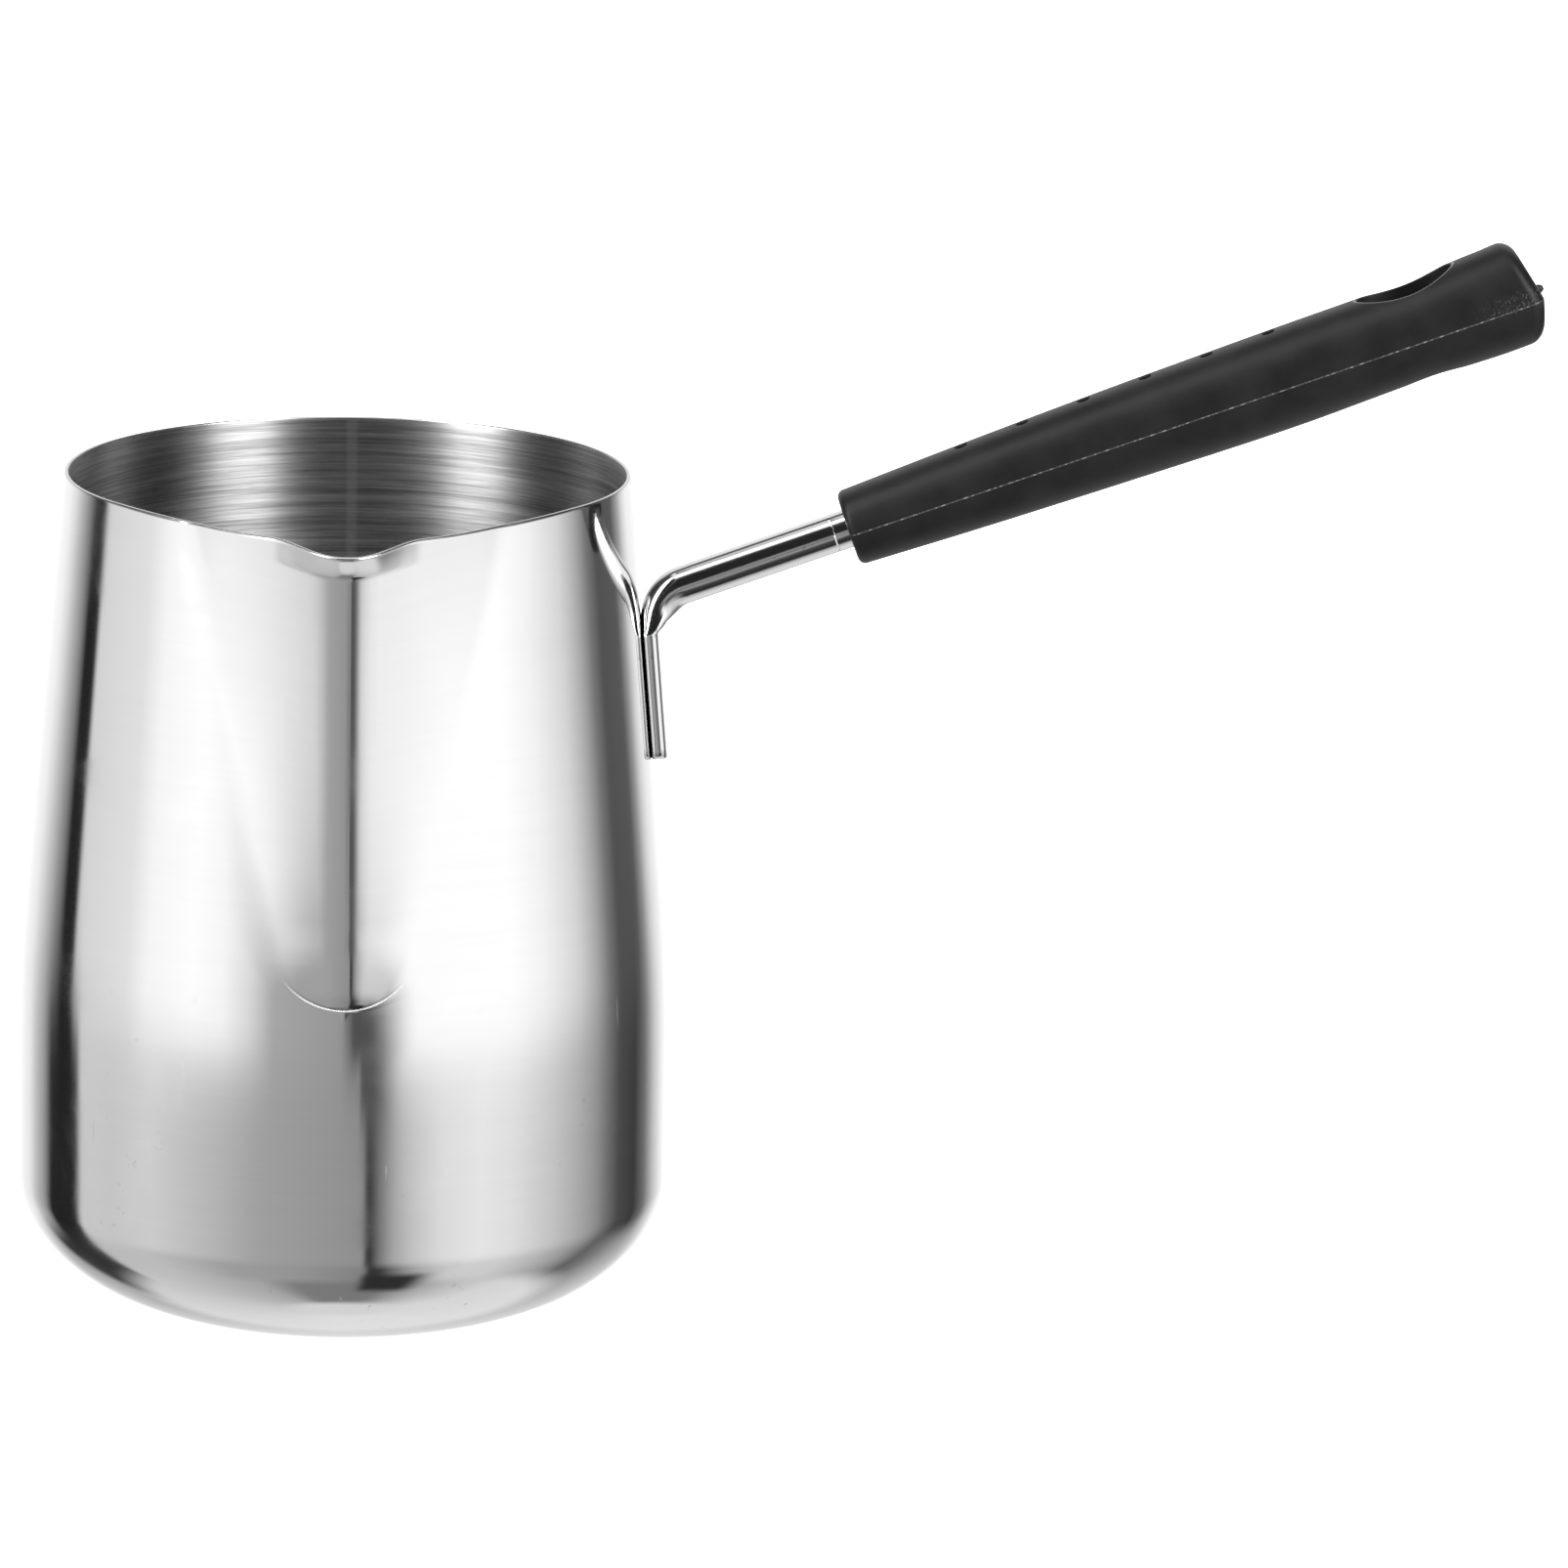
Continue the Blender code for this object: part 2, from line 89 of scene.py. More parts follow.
# ---------------------------------------------------------------- handle dimensions
HANDLE_TILT = math.radians(19.8)
HANDLE_START = Vector((74.78 * MM, 0.0, 119.74 * MM))
TUBE_RADIUS = 3.0 * MM
TUBE_WALL = 0.9 * MM
TUBE_IN_GRIP = 60.0 * MM
COLLAR_STEP = 0.02 * MM
TAIL_THICKNESS = 2.6 * MM
TAIL_BOTTOM_Z = TUBE_LOW.z
TAIL_CORNER = 1.6 * MM
TAIL_CORNER_NARROWING = 0.35
TAIL_CORNER_CLEARANCE = 0.4 * MM
TAIL_SPAN = 20.0 * MM
WELD_SINK = 0.03 * MM
BEND_OUTER_RADIUS = 8.2 * MM
FLATTEN_START = -1.6 * MM
FLATTEN_LENGTH = 2.4 * MM
FLAT_EXPONENT = 3.6
WELD_SPOTS_Z = (101.0 * MM, 93.0 * MM)
WELD_SPOT_RADIUS = 2.4 * MM
WELD_SPOT_DEPTH = 0.35 * MM
WELD_SPOT_STEEPNESS = 1.6
TUBE_END_BEVEL = 0.2 * MM
BORE_FULL_AFTER_BEND = 3.0 * MM
BORE_TIP_AFTER_BEND = 1.0 * MM
BORE_TIP_SHARE = 0.3
COLLAR_BEFORE_GRIP = 2.2 * MM
# Groove and step beside the grip: (along the tube, out from its surface).
COLLAR_PROFILE = ((-0.30 * MM, 0.0), (-0.03 * MM, 0.0), (0.0, -0.02 * MM), (0.06 * MM, -0.02 * MM),
                  (0.09 * MM, 0.01 * MM), (0.4 * MM, COLLAR_STEP), (3.0 * MM, COLLAR_STEP))

GRIP_FRONT = 1.9 * MM
GRIP_END = 113.6 * MM
GRIP_STATIONS = (1.9 * MM, 20.0 * MM, 45.0 * MM, 72.0 * MM, 94.0 * MM, 106.0 * MM, 113.6 * MM)
GRIP_HALF_WIDTHS = (6.2 * MM, 6.7 * MM, 7.2 * MM, 7.45 * MM, 7.5 * MM, 7.4 * MM, 7.35 * MM)
GRIP_UPPER_HEIGHTS = (5.75 * MM, 6.5 * MM, 7.3 * MM, 7.85 * MM, 8.25 * MM, 8.95 * MM, 9.3 * MM)
GRIP_LOWER_HEIGHTS = (5.85 * MM, 6.45 * MM, 7.0 * MM, 7.35 * MM, 6.9 * MM, 7.15 * MM, 7.0 * MM)
GRIP_DRAFT = 0.06
GRIP_FULLNESS = 2.4
GRIP_FRONT_ROUND = 1.1 * MM
GRIP_END_ROUND = 2.2 * MM
GRIP_END_DRAFT = math.tan(math.radians(13.0))
GRIP_FRONT_MARGIN = 0.8 * MM
GRIP_END_MARGIN = 4.5 * MM
GRIP_BORE_PLAY = 0.08 * MM
GRIP_BORE_BEVEL = 0.3 * MM
BORE_END = 61.0 * MM
HOLE_CENTRE = 94.3 * MM
HOLE_HALF_LENGTH = 7.7 * MM
HOLE_HALF_WIDTH = 4.2 * MM
HOLE_NARROWING = 0.14
HOLE_EDGE_ROUND = 0.40 * MM
HOLE_EDGE_TURN = math.radians(68.0)
HOLE_CUTTER_FLARE = 0.5 * MM
HOLE_CUTTER_CLEARANCE = 0.1 * MM
HOLE_CUTTER_REACH = 4.0 * MM
DIMPLE_FIRST = 22.3 * MM
DIMPLE_PITCH = 10.0 * MM
DIMPLE_COUNT = 6
DIMPLE_RADIUS = 0.95 * MM
DIMPLE_SIDE = -0.4 * MM
DIMPLE_DEPTH = 1.2 * MM
# From the bottom up: (wider than the dimple by, depth below the crest).
DIMPLE_PROFILE = ((-0.35 * MM, DIMPLE_DEPTH), (0.0, 0.8 * DIMPLE_DEPTH), (0.0, 0.22 * MM),
                  (0.1 * MM, 0.07 * MM), (0.3 * MM, -0.05 * MM), (0.3 * MM, -1.5 * MM))
NIB_RISE = 0.5 * MM
# (beyond the grip's end, radius) of the gate stub.
NIB_PROFILE = ((-2.0 * MM, 0.75 * MM), (0.15 * MM, 0.72 * MM), (0.55 * MM, 0.5 * MM),
               (0.75 * MM, 0.25 * MM))

# ---------------------------------------------------------------- mesh fineness
POT_SEGMENTS = 320
ANGLE_CROWDING = 0.72
BASE_RINGS = (4.0 * MM, 12.0 * MM, 20.0 * MM)
CORNER_ROWS = 22
# Rows of the wall below, across and above the spout's lower end, and beside the rim.
WALL_ROWS = (20, 44, 36, 16)
FOOT_BAND_BELOW = 3.0 * MM
FOOT_BAND_ABOVE = 7.0 * MM
RIM_BAND = 6.0 * MM
RIM_STEPS = 6
TUBE_SIDES = 64
TAIL_CORNER_STEPS = 8
TAIL_ROWS = 56
BEND_STEPS = 36
STRAIGHT_ROWS = 10
GRIP_SIDES = 120
GRIP_RINGS = 130
GRIP_FRONT_STEPS = 6
GRIP_END_STEPS = 10
GRIP_HEIGHT_PASSES = 12
HOLE_SIDES = 96
HOLE_EDGE_STEPS = 5
PEG_SIDES = 24
SHARP_ANGLE = math.radians(40.0)
VESSEL_SHARP_ANGLE = math.radians(60.0)
GRIP_SHARP_ANGLE = math.radians(28.0)
FLOOR_SIDES = 96

# ---------------------------------------------------------------- marks on the surfaces
PRESSED_HALF_WIDTH = 11.0 * MM
PRESSED_FADE = 5.0 * MM
# Painted highlight line and painted shade line: (place on the pressed edge's ring, half width,
# strength).
PRESSED_LINES = ((1.0, 0.021, 0.60), (0.970, 0.024, 0.55))
# metallic of the painted highlight line, so that it shows as a pale line
PAINTED_HIGHLIGHT_METALLIC = 0.25
BLEMISHED_BELOW = (50.0 * MM, 62.0 * MM)
# Painted reflection on the inside back wall: a pale upright line at this x, full within the first span
# and gone beyond the second.
PAINTED_REFLECTION_X = 0.6 * MM
PAINTED_REFLECTION_SPAN = (0.4 * MM, 1.2 * MM)
PARTING_SPAN = (0.04 * MM, 0.13 * MM)
# Painted highlight along the hang hole's upper edge: ring place, half width, and heights over which it
# fades in.
HOLE_HIGHLIGHT_RING = 1.045
HOLE_HIGHLIGHT_SPAN = 0.045
HOLE_HIGHLIGHT_ABOVE = (4.0 * MM, 6.0 * MM)
WORN_ALONG = (101.0 * MM, 110.0 * MM)
WORN_RISE = 1.0 * MM
WORN_SPAN = (0.4 * MM, 2.2 * MM)

POLISHED_DARK = (0.797, 0.797, 0.800, 1.0)
POLISHED_LIGHT = (0.812, 0.812, 0.815, 1.0)
BLEMISH_TONE = (0.45, 0.45, 0.46, 1.0)
# next two: painted shade and painted highlight along the spout's round lower end
PRESSED_SHADE_TONE = (0.22, 0.22, 0.22, 1.0)
PAINTED_HIGHLIGHT_TONE = (0.97, 0.97, 0.97, 1.0)
SATIN_DARK = (0.33, 0.33, 0.335, 1.0)
SATIN_LIGHT = (0.72, 0.72, 0.72, 1.0)
# painted reflection on the inside back wall
PAINTED_REFLECTION_TONE = (0.95, 0.95, 0.95, 1.0)
TUBE_TONE = (0.79, 0.79, 0.80, 1.0)
PIT_TONE = (0.55, 0.55, 0.56, 1.0)
PLASTIC_DARK = (0.004, 0.004, 0.0041, 1.0)
PLASTIC_LIGHT = (0.007, 0.007, 0.0073, 1.0)
PLASTIC_PALE = (0.30, 0.30, 0.30, 1.0)
FLOOR_DARK = (0.88, 0.88, 0.88, 1.0)
FLOOR_LIGHT = (0.92, 0.92, 0.92, 1.0)


# ================================================================ small helpers
def smoothstep(value):
    """Ease from 0 to 1 as value runs from 0 to 1."""
    t = min(max(value, 0.0), 1.0)
    return t * t * (3.0 - 2.0 * t)


def cubic_through(stations, values, at):
    """Catmull-Rom curve through (stations, values), read at one station."""
    stations = np.array(stations)
    values = np.array(values)
    slopes = np.gradient(values, stations)
    i = int(np.clip(np.searchsorted(stations, at) - 1, 0, len(stations) - 2))
    span = stations[i + 1] - stations[i]
    t = (at - stations[i]) / span
    start = (1 + 2 * t) * (1 - t) ** 2 * values[i] + t * (1 - t) ** 2 * span * slopes[i]
    end = t * t * (3 - 2 * t) * values[i + 1] + t * t * (t - 1) * span * slopes[i + 1]
    return float(start + end)


def signed_power(value, power):
    """Raise the size of a number to a power and keep its sign."""
    return math.copysign(abs(value) ** power, value)


def circle(radius, sides):
    """Points round a circle, as (cosine side, sine side)."""
    turns = [2.0 * math.pi * i / sides for i in range(sides)]
    return [(radius * math.cos(turn), radius * math.sin(turn)) for turn in turns]


def link_object(name, bm, materials, sharp_angle=SHARP_ANGLE):
    """Make a smooth-shaded object of a bmesh and free the bmesh."""
    mesh = bpy.data.meshes.new(name)
    bm.to_mesh(mesh)
    bm.free()
    mesh.shade_smooth()
    mesh.set_sharp_from_angle(angle=sharp_angle)
    for material in materials:
        mesh.materials.append(material)
    obj = bpy.data.objects.new(name, mesh)
    bpy.context.scene.collection.objects.link(obj)
    return obj


def loft(bm, rings, cap_start=True, cap_end=True):
    """Skin equal rings of points with quads; rings turn left about the way they advance."""
    loops = [[bm.verts.new(point) for point in ring] for ring in rings]
    count = len(loops[0])
    for low, high in zip(loops, loops[1:]):
        for i in range(count):
            j = (i + 1) % count
            bm.faces.new((low[i], low[j], high[j], high[i]))
    if cap_start:
        bm.faces.new(list(reversed(loops[0])))
    if cap_end:
        bm.faces.new(loops[-1])
    return loops


# ================================================================ node helpers
class Graph:
    """Short calls for building a material's or the world's node tree."""

    def __init__(self, tree):
        self.tree = tree
        self.nodes = tree.nodes
        self.links = tree.links

    def add(self, kind, **settings):
        node = self.nodes.new(kind)
        for key, value in settings.items():
            setattr(node, key, value)
        return node

    def feed(self, socket, value):
        """Link a socket to a socket, or set it to a plain value."""
        if isinstance(value, bpy.types.NodeSocket):
            self.links.new(value, socket)
        else:
            socket.default_value = value

    def math(self, operation, *values, clamp=False):
        node = self.add("ShaderNodeMath", operation=operation, use_clamp=clamp)
        for socket, value in zip(node.inputs, values):
            self.feed(socket, value)
        return node.outputs[0]

    def ramp(self, value, low, high, out_low=0.0, out_high=1.0):
        """Smooth step of value from low to high."""
        node = self.add("ShaderNodeMapRange", interpolation_type="SMOOTHSTEP")
        for name, item in (("Value", value), ("From Min", low), ("From Max", high),
                           ("To Min", out_low), ("To Max", out_high)):
            self.feed(node.inputs[name], item)
        return node.outputs["Result"]

    def mix(self, factor, low, high):
        """Plain blend of two numbers."""
        node = self.add("ShaderNodeMix", data_type="FLOAT")
        self.feed(node.inputs[0], factor)
        self.feed(node.inputs[2], low)
        self.feed(node.inputs[3], high)
        return node.outputs[0]

    def mix_colour(self, factor, low, high):
        node = self.add("ShaderNodeMix", data_type="RGBA")
        self.feed(node.inputs[0], factor)
        self.feed(node.inputs[6], low)
        self.feed(node.inputs[7], high)
        return node.outputs[2]

    def noise(self, vector, scale, detail=2.0, roughness=0.5, distortion=0.0):
        node = self.add("ShaderNodeTexNoise")
        self.feed(node.inputs["Vector"], vector)
        node.inputs["Scale"].default_value = scale
        node.inputs["Detail"].default_value = detail
        node.inputs["Roughness"].default_value = roughness
        node.inputs["Distortion"].default_value = distortion
        return node.outputs["Fac"]

    def combine(self, x, y, z):
        node = self.add("ShaderNodeCombineXYZ")
        for socket, value in zip(node.inputs, (x, y, z)):
            self.feed(socket, value)
        return node.outputs[0]

    def separate(self, vector):
        node = self.add("ShaderNodeSeparateXYZ")
        self.feed(node.inputs[0], vector)
        return node.outputs

    def bump(self, height, strength, distance, normal=None):
        node = self.add("ShaderNodeBump")
        node.inputs["Strength"].default_value = strength
        node.inputs["Distance"].default_value = distance
        self.feed(node.inputs["Height"], height)
        if normal is not None:
            self.feed(node.inputs["Normal"], normal)
        return node.outputs[0]


def new_material(name, colour, roughness, metallic):
    """A Principled material and its graph, shader and object coordinates."""
    material = bpy.data.materials.new(name)
    material.use_nodes = True
    graph = Graph(material.node_tree)
    shader = material.node_tree.nodes["Principled BSDF"]
    shader.inputs["Base Color"].default_value = (*colour, 1.0)
    shader.inputs["Roughness"].default_value = roughness
    shader.inputs["Metallic"].default_value = metallic
    place = graph.add("ShaderNodeTexCoord").outputs["Object"]
    return material, graph, shader, place


# ================================================================ materials
def length_of(graph, x, y):
    """Length of a flat vector."""
    return graph.math("SQRT", graph.math("ADD", graph.math("MULTIPLY", x, x),
                                         graph.math("MULTIPLY", y, y)))


def line_share(graph, value, middle, span, strength=1.0):
    """Strength of a soft line: full within span[0] of its middle, 0 beyond span[1]."""
    away = graph.math("ABSOLUTE", graph.math("SUBTRACT", value, middle))
    return graph.ramp(away, span[0], span[1], strength, 0.0)


def turned_coordinates(graph, place, stretch):
    """Coordinates squeezed round the vertical axis, so that noise becomes circling lines."""
    x, y, z = graph.separate(place)
    flat = length_of(graph, x, y)
    climb = graph.math("ADD", z, graph.math("MULTIPLY", flat, 0.5))
    return graph.combine(graph.math("MULTIPLY", x, stretch), graph.math("MULTIPLY", y, stretch),
                         climb)


def pressed_edge(graph, x, y, z):
    """Shares of a painted highlight line and of a painted shade line along the spout's round lower end.
    """
    across = graph.math("DIVIDE", x, PRESSED_HALF_WIDTH)
    climb = graph.math("DIVIDE", graph.math("SUBTRACT", z, SPOUT_BOTTOM_Z + SPOUT_ROUND_HEIGHT),
                       SPOUT_ROUND_HEIGHT)
    climb = graph.math("MINIMUM", climb, 0.0)
    ring = length_of(graph, across, climb)
    front = graph.math("MULTIPLY", graph.math("LESS_THAN", y, 0.0),
                       graph.ramp(z, SPOUT_BOTTOM_Z, SPOUT_BOTTOM_Z + PRESSED_FADE, 1.0, 0.0))
    return [graph.math("MULTIPLY", line_share(graph, ring, middle, (0.0, span), strength), front)
            for middle, span, strength in PRESSED_LINES]


def polished_outside():
    """Mirror-polished steel: faint circling lines, smudges, nicks and specks low down, and a painted
    highlight line and painted shade line along the spout's round lower end.
    """
    material, graph, shader, place = new_material("polished_steel", (0.80, 0.80, 0.81), 0.08, 1.0)
    fine = graph.noise(turned_coordinates(graph, place, 0.02), 3000.0, 3.0, 0.6)
    broad = graph.noise(turned_coordinates(graph, place, 0.05), 420.0, 3.0, 0.55)
    smudge = graph.noise(place, 45.0, 4.0, 0.6, 0.6)
    haze = graph.ramp(smudge, 0.45, 0.75)
    x, y, z = graph.separate(place)
    upright = graph.combine(x, y, graph.math("MULTIPLY", z, 0.04))
    nicks = graph.ramp(graph.noise(upright, 900.0, 1.0, 0.5), 0.735, 0.775)
    low_down = graph.ramp(z, *BLEMISHED_BELOW, 1.0, 0.0)
    nicks = graph.math("MULTIPLY", graph.math("MULTIPLY", nicks, low_down),
                       graph.ramp(graph.noise(place, 60.0, 1.0), 0.50, 0.60))
    graph.feed(shader.inputs["Roughness"], graph.math("ADD", graph.math(
        "ADD", graph.mix(haze, 0.055, 0.14), graph.math("MULTIPLY", fine, 0.03)),
        graph.math("MULTIPLY", nicks, 0.25)))
    tone = graph.math("ADD", graph.math("MULTIPLY", fine, 0.4), graph.math("MULTIPLY", broad, 0.6))
    steel = graph.mix_colour(graph.ramp(tone, 0.3, 0.7), POLISHED_DARK, POLISHED_LIGHT)
    specks = graph.ramp(graph.noise(place, 420.0, 2.0, 0.6), 0.66, 0.74)
    blemish = graph.math("MAXIMUM", nicks, graph.math("MULTIPLY", specks, graph.math(
        "MULTIPLY", graph.ramp(smudge, 0.5, 0.7), low_down)))
    steel = graph.mix_colour(graph.math("MULTIPLY", blemish, 0.30), steel, BLEMISH_TONE)
    # painted highlight and painted shade along the spout's round lower end
    painted_highlight, shade = pressed_edge(graph, x, y, z)
    steel = graph.mix_colour(shade, steel, PRESSED_SHADE_TONE)
    graph.feed(shader.inputs["Base Color"], graph.mix_colour(painted_highlight, steel, PAINTED_HIGHLIGHT_TONE))
    graph.feed(shader.inputs["Metallic"], graph.mix(painted_highlight, 1.0, PAINTED_HIGHLIGHT_METALLIC))
    graph.feed(shader.inputs["Normal"], graph.bump(tone, 0.05, 0.000006))
    return material


def satin_inside():
    """Turned satin steel: circling lines, and a painted reflection, a pale upright line, on the back
    wall.
    """
    material, graph, shader, place = new_material("satin_steel", (0.70, 0.70, 0.71), 0.30, 1.0)
    fine = graph.noise(turned_coordinates(graph, place, 0.02), 3000.0, 4.0, 0.7)
    broad = graph.noise(turned_coordinates(graph, place, 0.015), 1000.0, 4.0, 0.6)
    lines = graph.math("ADD", graph.math("MULTIPLY", fine, 0.6), graph.math("MULTIPLY", broad, 0.4))
    x, y, _ = graph.separate(place)
    # painted reflection: a pale upright line on the back wall
    painted_reflection = graph.math("MULTIPLY", line_share(graph, x, PAINTED_REFLECTION_X, PAINTED_REFLECTION_SPAN),
                      graph.math("GREATER_THAN", y, 0.0))
    base = graph.mix_colour(graph.ramp(lines, 0.34, 0.66), SATIN_DARK, SATIN_LIGHT)
    graph.feed(shader.inputs["Base Color"], graph.mix_colour(
        graph.math("MULTIPLY", painted_reflection, 0.35), base, PAINTED_REFLECTION_TONE))
    graph.feed(shader.inputs["Roughness"], graph.math("ADD", 0.34, graph.math("MULTIPLY", fine, 0.12)))
    shader.inputs["Anisotropic"].default_value = 0.95
    shader.inputs["Anisotropic Rotation"].default_value = 0.25
    tangent = graph.add("ShaderNodeTangent", direction_type="RADIAL", axis="Z")
    graph.feed(shader.inputs["Tangent"], tangent.outputs[0])
    graph.feed(shader.inputs["Normal"], graph.bump(lines, 0.35, 0.00003))
    return material


def cut_rim():
    """Bright, lightly ground edge of the sheet."""
    material, graph, shader, place = new_material("ground_rim", (0.62, 0.62, 0.62), 0.22, 1.0)
    grain = graph.noise(place, 900.0, 3.0, 0.6)
    graph.feed(shader.inputs["Roughness"], graph.math("ADD", 0.16, graph.math("MULTIPLY", grain, 0.16)))
    graph.feed(shader.inputs["Normal"], graph.bump(grain, 0.15, 0.00002))
    return material


def tube_steel():
    """Bright drawn tube with faint lengthwise draw lines and a few pits."""
    material, graph, shader, place = new_material("tube_steel", (0.78, 0.78, 0.79), 0.10, 1.0)
    x, y, z = graph.separate(place)
    stretched = graph.combine(graph.math("MULTIPLY", x, 0.08), y, z)
    drawn = graph.noise(stretched, 2200.0, 3.0, 0.6)
    pits = graph.ramp(graph.noise(place, 700.0, 1.0), 0.70, 0.80)
    graph.feed(shader.inputs["Roughness"], graph.math("ADD", 0.06, graph.math("MULTIPLY", drawn, 0.09)))
    graph.feed(shader.inputs["Base Color"], graph.mix_colour(pits, TUBE_TONE, PIT_TONE))
    graph.feed(shader.inputs["Normal"], graph.bump(graph.math("ADD", drawn, pits), 0.12, 0.00002))
    return material


def grip_plastic():
    """Black plastic: fine grain, dull patches, a pale parting line, a painted highlight along
    the hang hole's upper edge and a scuffed patch near the end."""
    material, graph, shader, place = new_material("black_plastic", (0.006, 0.006, 0.0065), 0.42, 0.0)
    grain = graph.noise(place, 3800.0, 2.0, 0.6)
    patch = graph.noise(place, 130.0, 4.0, 0.6)
    graph.feed(shader.inputs["Roughness"], graph.math(
        "ADD", 0.36, graph.math("MULTIPLY", patch, 0.16)))
    shader.inputs["Specular IOR Level"].default_value = 0.27
    base = graph.mix_colour(graph.ramp(patch, 0.3, 0.7), PLASTIC_DARK, PLASTIC_LIGHT)
    x, y, z = graph.separate(place)
    seam = graph.ramp(graph.math("ABSOLUTE", z), *PARTING_SPAN, 1.0, 0.0)
    dots = graph.ramp(graph.noise(graph.combine(x, 0.0, 0.0), 1100.0, 2.0), 0.46, 0.64)
    pale = graph.math("MULTIPLY", seam, graph.math("ADD", 0.10, graph.math("MULTIPLY", dots, 0.4)))
    along = graph.math("DIVIDE", graph.math("SUBTRACT", x, HOLE_CENTRE), HOLE_HALF_LENGTH)
    across = graph.math("DIVIDE", y, HOLE_HALF_WIDTH)
    ring = length_of(graph, along, across)
    # painted highlight along the hang hole's upper edge
    edge = line_share(graph, ring, HOLE_HIGHLIGHT_RING, (0.0, HOLE_HIGHLIGHT_SPAN), 0.45)
    edge = graph.math("MULTIPLY", edge, graph.ramp(z, *HOLE_HIGHLIGHT_ABOVE))
    pale = graph.math("MAXIMUM", pale, edge)
    scuffs = graph.ramp(graph.noise(place, 2600.0, 3.0, 0.7), 0.52, 0.70)
    worn = graph.math("MULTIPLY", graph.ramp(x, *WORN_ALONG),
                      line_share(graph, z, WORN_RISE, WORN_SPAN))
    pale = graph.math("MAXIMUM", pale, graph.math(
        "MULTIPLY", graph.math("MULTIPLY", scuffs, worn), 0.22))
    graph.feed(shader.inputs["Base Color"], graph.mix_colour(pale, base, PLASTIC_PALE))
    graph.feed(shader.inputs["Normal"], graph.bump(grain, 0.10, 0.00005))
    return material


# ================================================================ vessel
def wall_radius(z):
    """Outer radius of the round wall: a cylinder that eases into a taper."""
    rise = z - TAPER_START_Z
    return POT_RADIUS - TAPER_SLOPE * (rise + math.hypot(rise, TAPER_BLEND)) / 2.0


def spout_half_width(rise):
    """Half the width of the spout's pressed outline, a height above its round lower end."""
    side = SPOUT_HALF_WIDTH + SPOUT_WIDENING * rise + SPOUT_WIDENING_GROWTH * rise * rise
    short = 1.0 - min(rise / SPOUT_ROUND_HEIGHT, 1.0)
    return side * math.sqrt(1.0 - short * short)


def spout_face_angles(rise):
    """How far each face of the spout turns from straight ahead, beside its nose and its edge."""
    ease = SPOUT_FACE_EASE * math.exp(-rise / SPOUT_FACE_EASE_HEIGHT)
    inner = SPOUT_FACE_ANGLE - ease + SPOUT_FACE_TURN * rise
    return inner, inner + SPOUT_BULGE * max(rise - SPOUT_BULGE_START, 0.0)


def spout_depth(across, wall, half_width, inner, outer):
    """How far forward of the axis the spout lies, at a distance across from its middle."""
    edge = math.sqrt(wall * wall - half_width * half_width)
    nose = min(SPOUT_NOSE_RADIUS * math.sin(inner), half_width)
    beyond = max(across - nose, 0.0) / max(half_width - nose, 1e-6)
    steep = math.tan(outer)
    slope = math.tan(inner) + (steep - math.tan(inner)) * min(beyond, 1.0)
    face = edge + (half_width - max(across, nose)) * 0.5 * (slope + steep)
    if across >= nose:
        return face
    round_top = math.sqrt(SPOUT_NOSE_RADIUS ** 2 - across ** 2)
    return face + round_top - math.sqrt(SPOUT_NOSE_RADIUS ** 2 - nose ** 2)


def spout_radius(turn, z, wall):
    """Radius of the spout's two bulged faces and the round nose between them."""
    rise = max(z - SPOUT_BOTTOM_Z, 0.0)
    below = SPOUT_FOOT_SLOPE * max(SPOUT_BOTTOM_Z - z, 0.0)
    inner, outer = spout_face_angles(rise)
    half_width = spout_half_width(rise)
    if turn >= outer:
        edge = math.sqrt(wall * wall - half_width * half_width)
        foot = edge * math.cos(outer) + half_width * math.sin(outer)
        return foot * math.cos(turn - outer) - below
    radius = wall
    for _ in range(SPOUT_PASSES):
        across = radius * math.sin(turn)
        radius = spout_depth(across, wall, half_width, inner, outer) / math.cos(turn)
    return radius - below


def spouted_radius(angle, z):
    """Outer radius at an angle from the spout: wall and spout, with a soft crease between."""
    wall = wall_radius(z)
    spout = spout_radius(abs(angle), z, wall)
    blend = max(SPOUT_CREASE_BLEND - abs(spout - wall), 0.0) / SPOUT_CREASE_BLEND
    return max(wall, spout) + 0.25 * SPOUT_CREASE_BLEND * blend * blend


def lip_share(angle):
    """1 at the spout's lip, easing to 0 beside it."""
    return smoothstep((LIP_HALF_ANGLE - abs(angle)) / LIP_FADE_ANGLE)


def rim_dip(angle):
    """How far the rim is drawn down at an angle from the spout."""
    wide = smoothstep((RIM_DIP_HALF_ANGLE - abs(angle)) / RIM_DIP_FADE_ANGLE)
    return RIM_DIP * wide + LIP_DIP * lip_share(angle)


def vessel_point(angle, z):
    """Point of the outer surface; z is the height before the rim is drawn down."""
    radius = spouted_radius(angle, z)
    rise = max(z - (POT_HEIGHT - LIP_FLARE_HEIGHT), 0.0) / LIP_FLARE_HEIGHT
    radius += LIP_FLARE * lip_share(angle) * rise ** LIP_FLARE_POWER
    drop = rim_dip(angle) * smoothstep((z - POT_HEIGHT + DIP_DEPTH) / DIP_DEPTH)
    return (radius * math.sin(angle), -radius * math.cos(angle), z - drop)


def vessel_angles():
    """Angles round the vessel, closer together on the spout."""
    turns = [2.0 * math.pi * i / POT_SEGMENTS - math.pi for i in range(POT_SEGMENTS)]
    return [turn - ANGLE_CROWDING * math.sin(turn) for turn in turns]


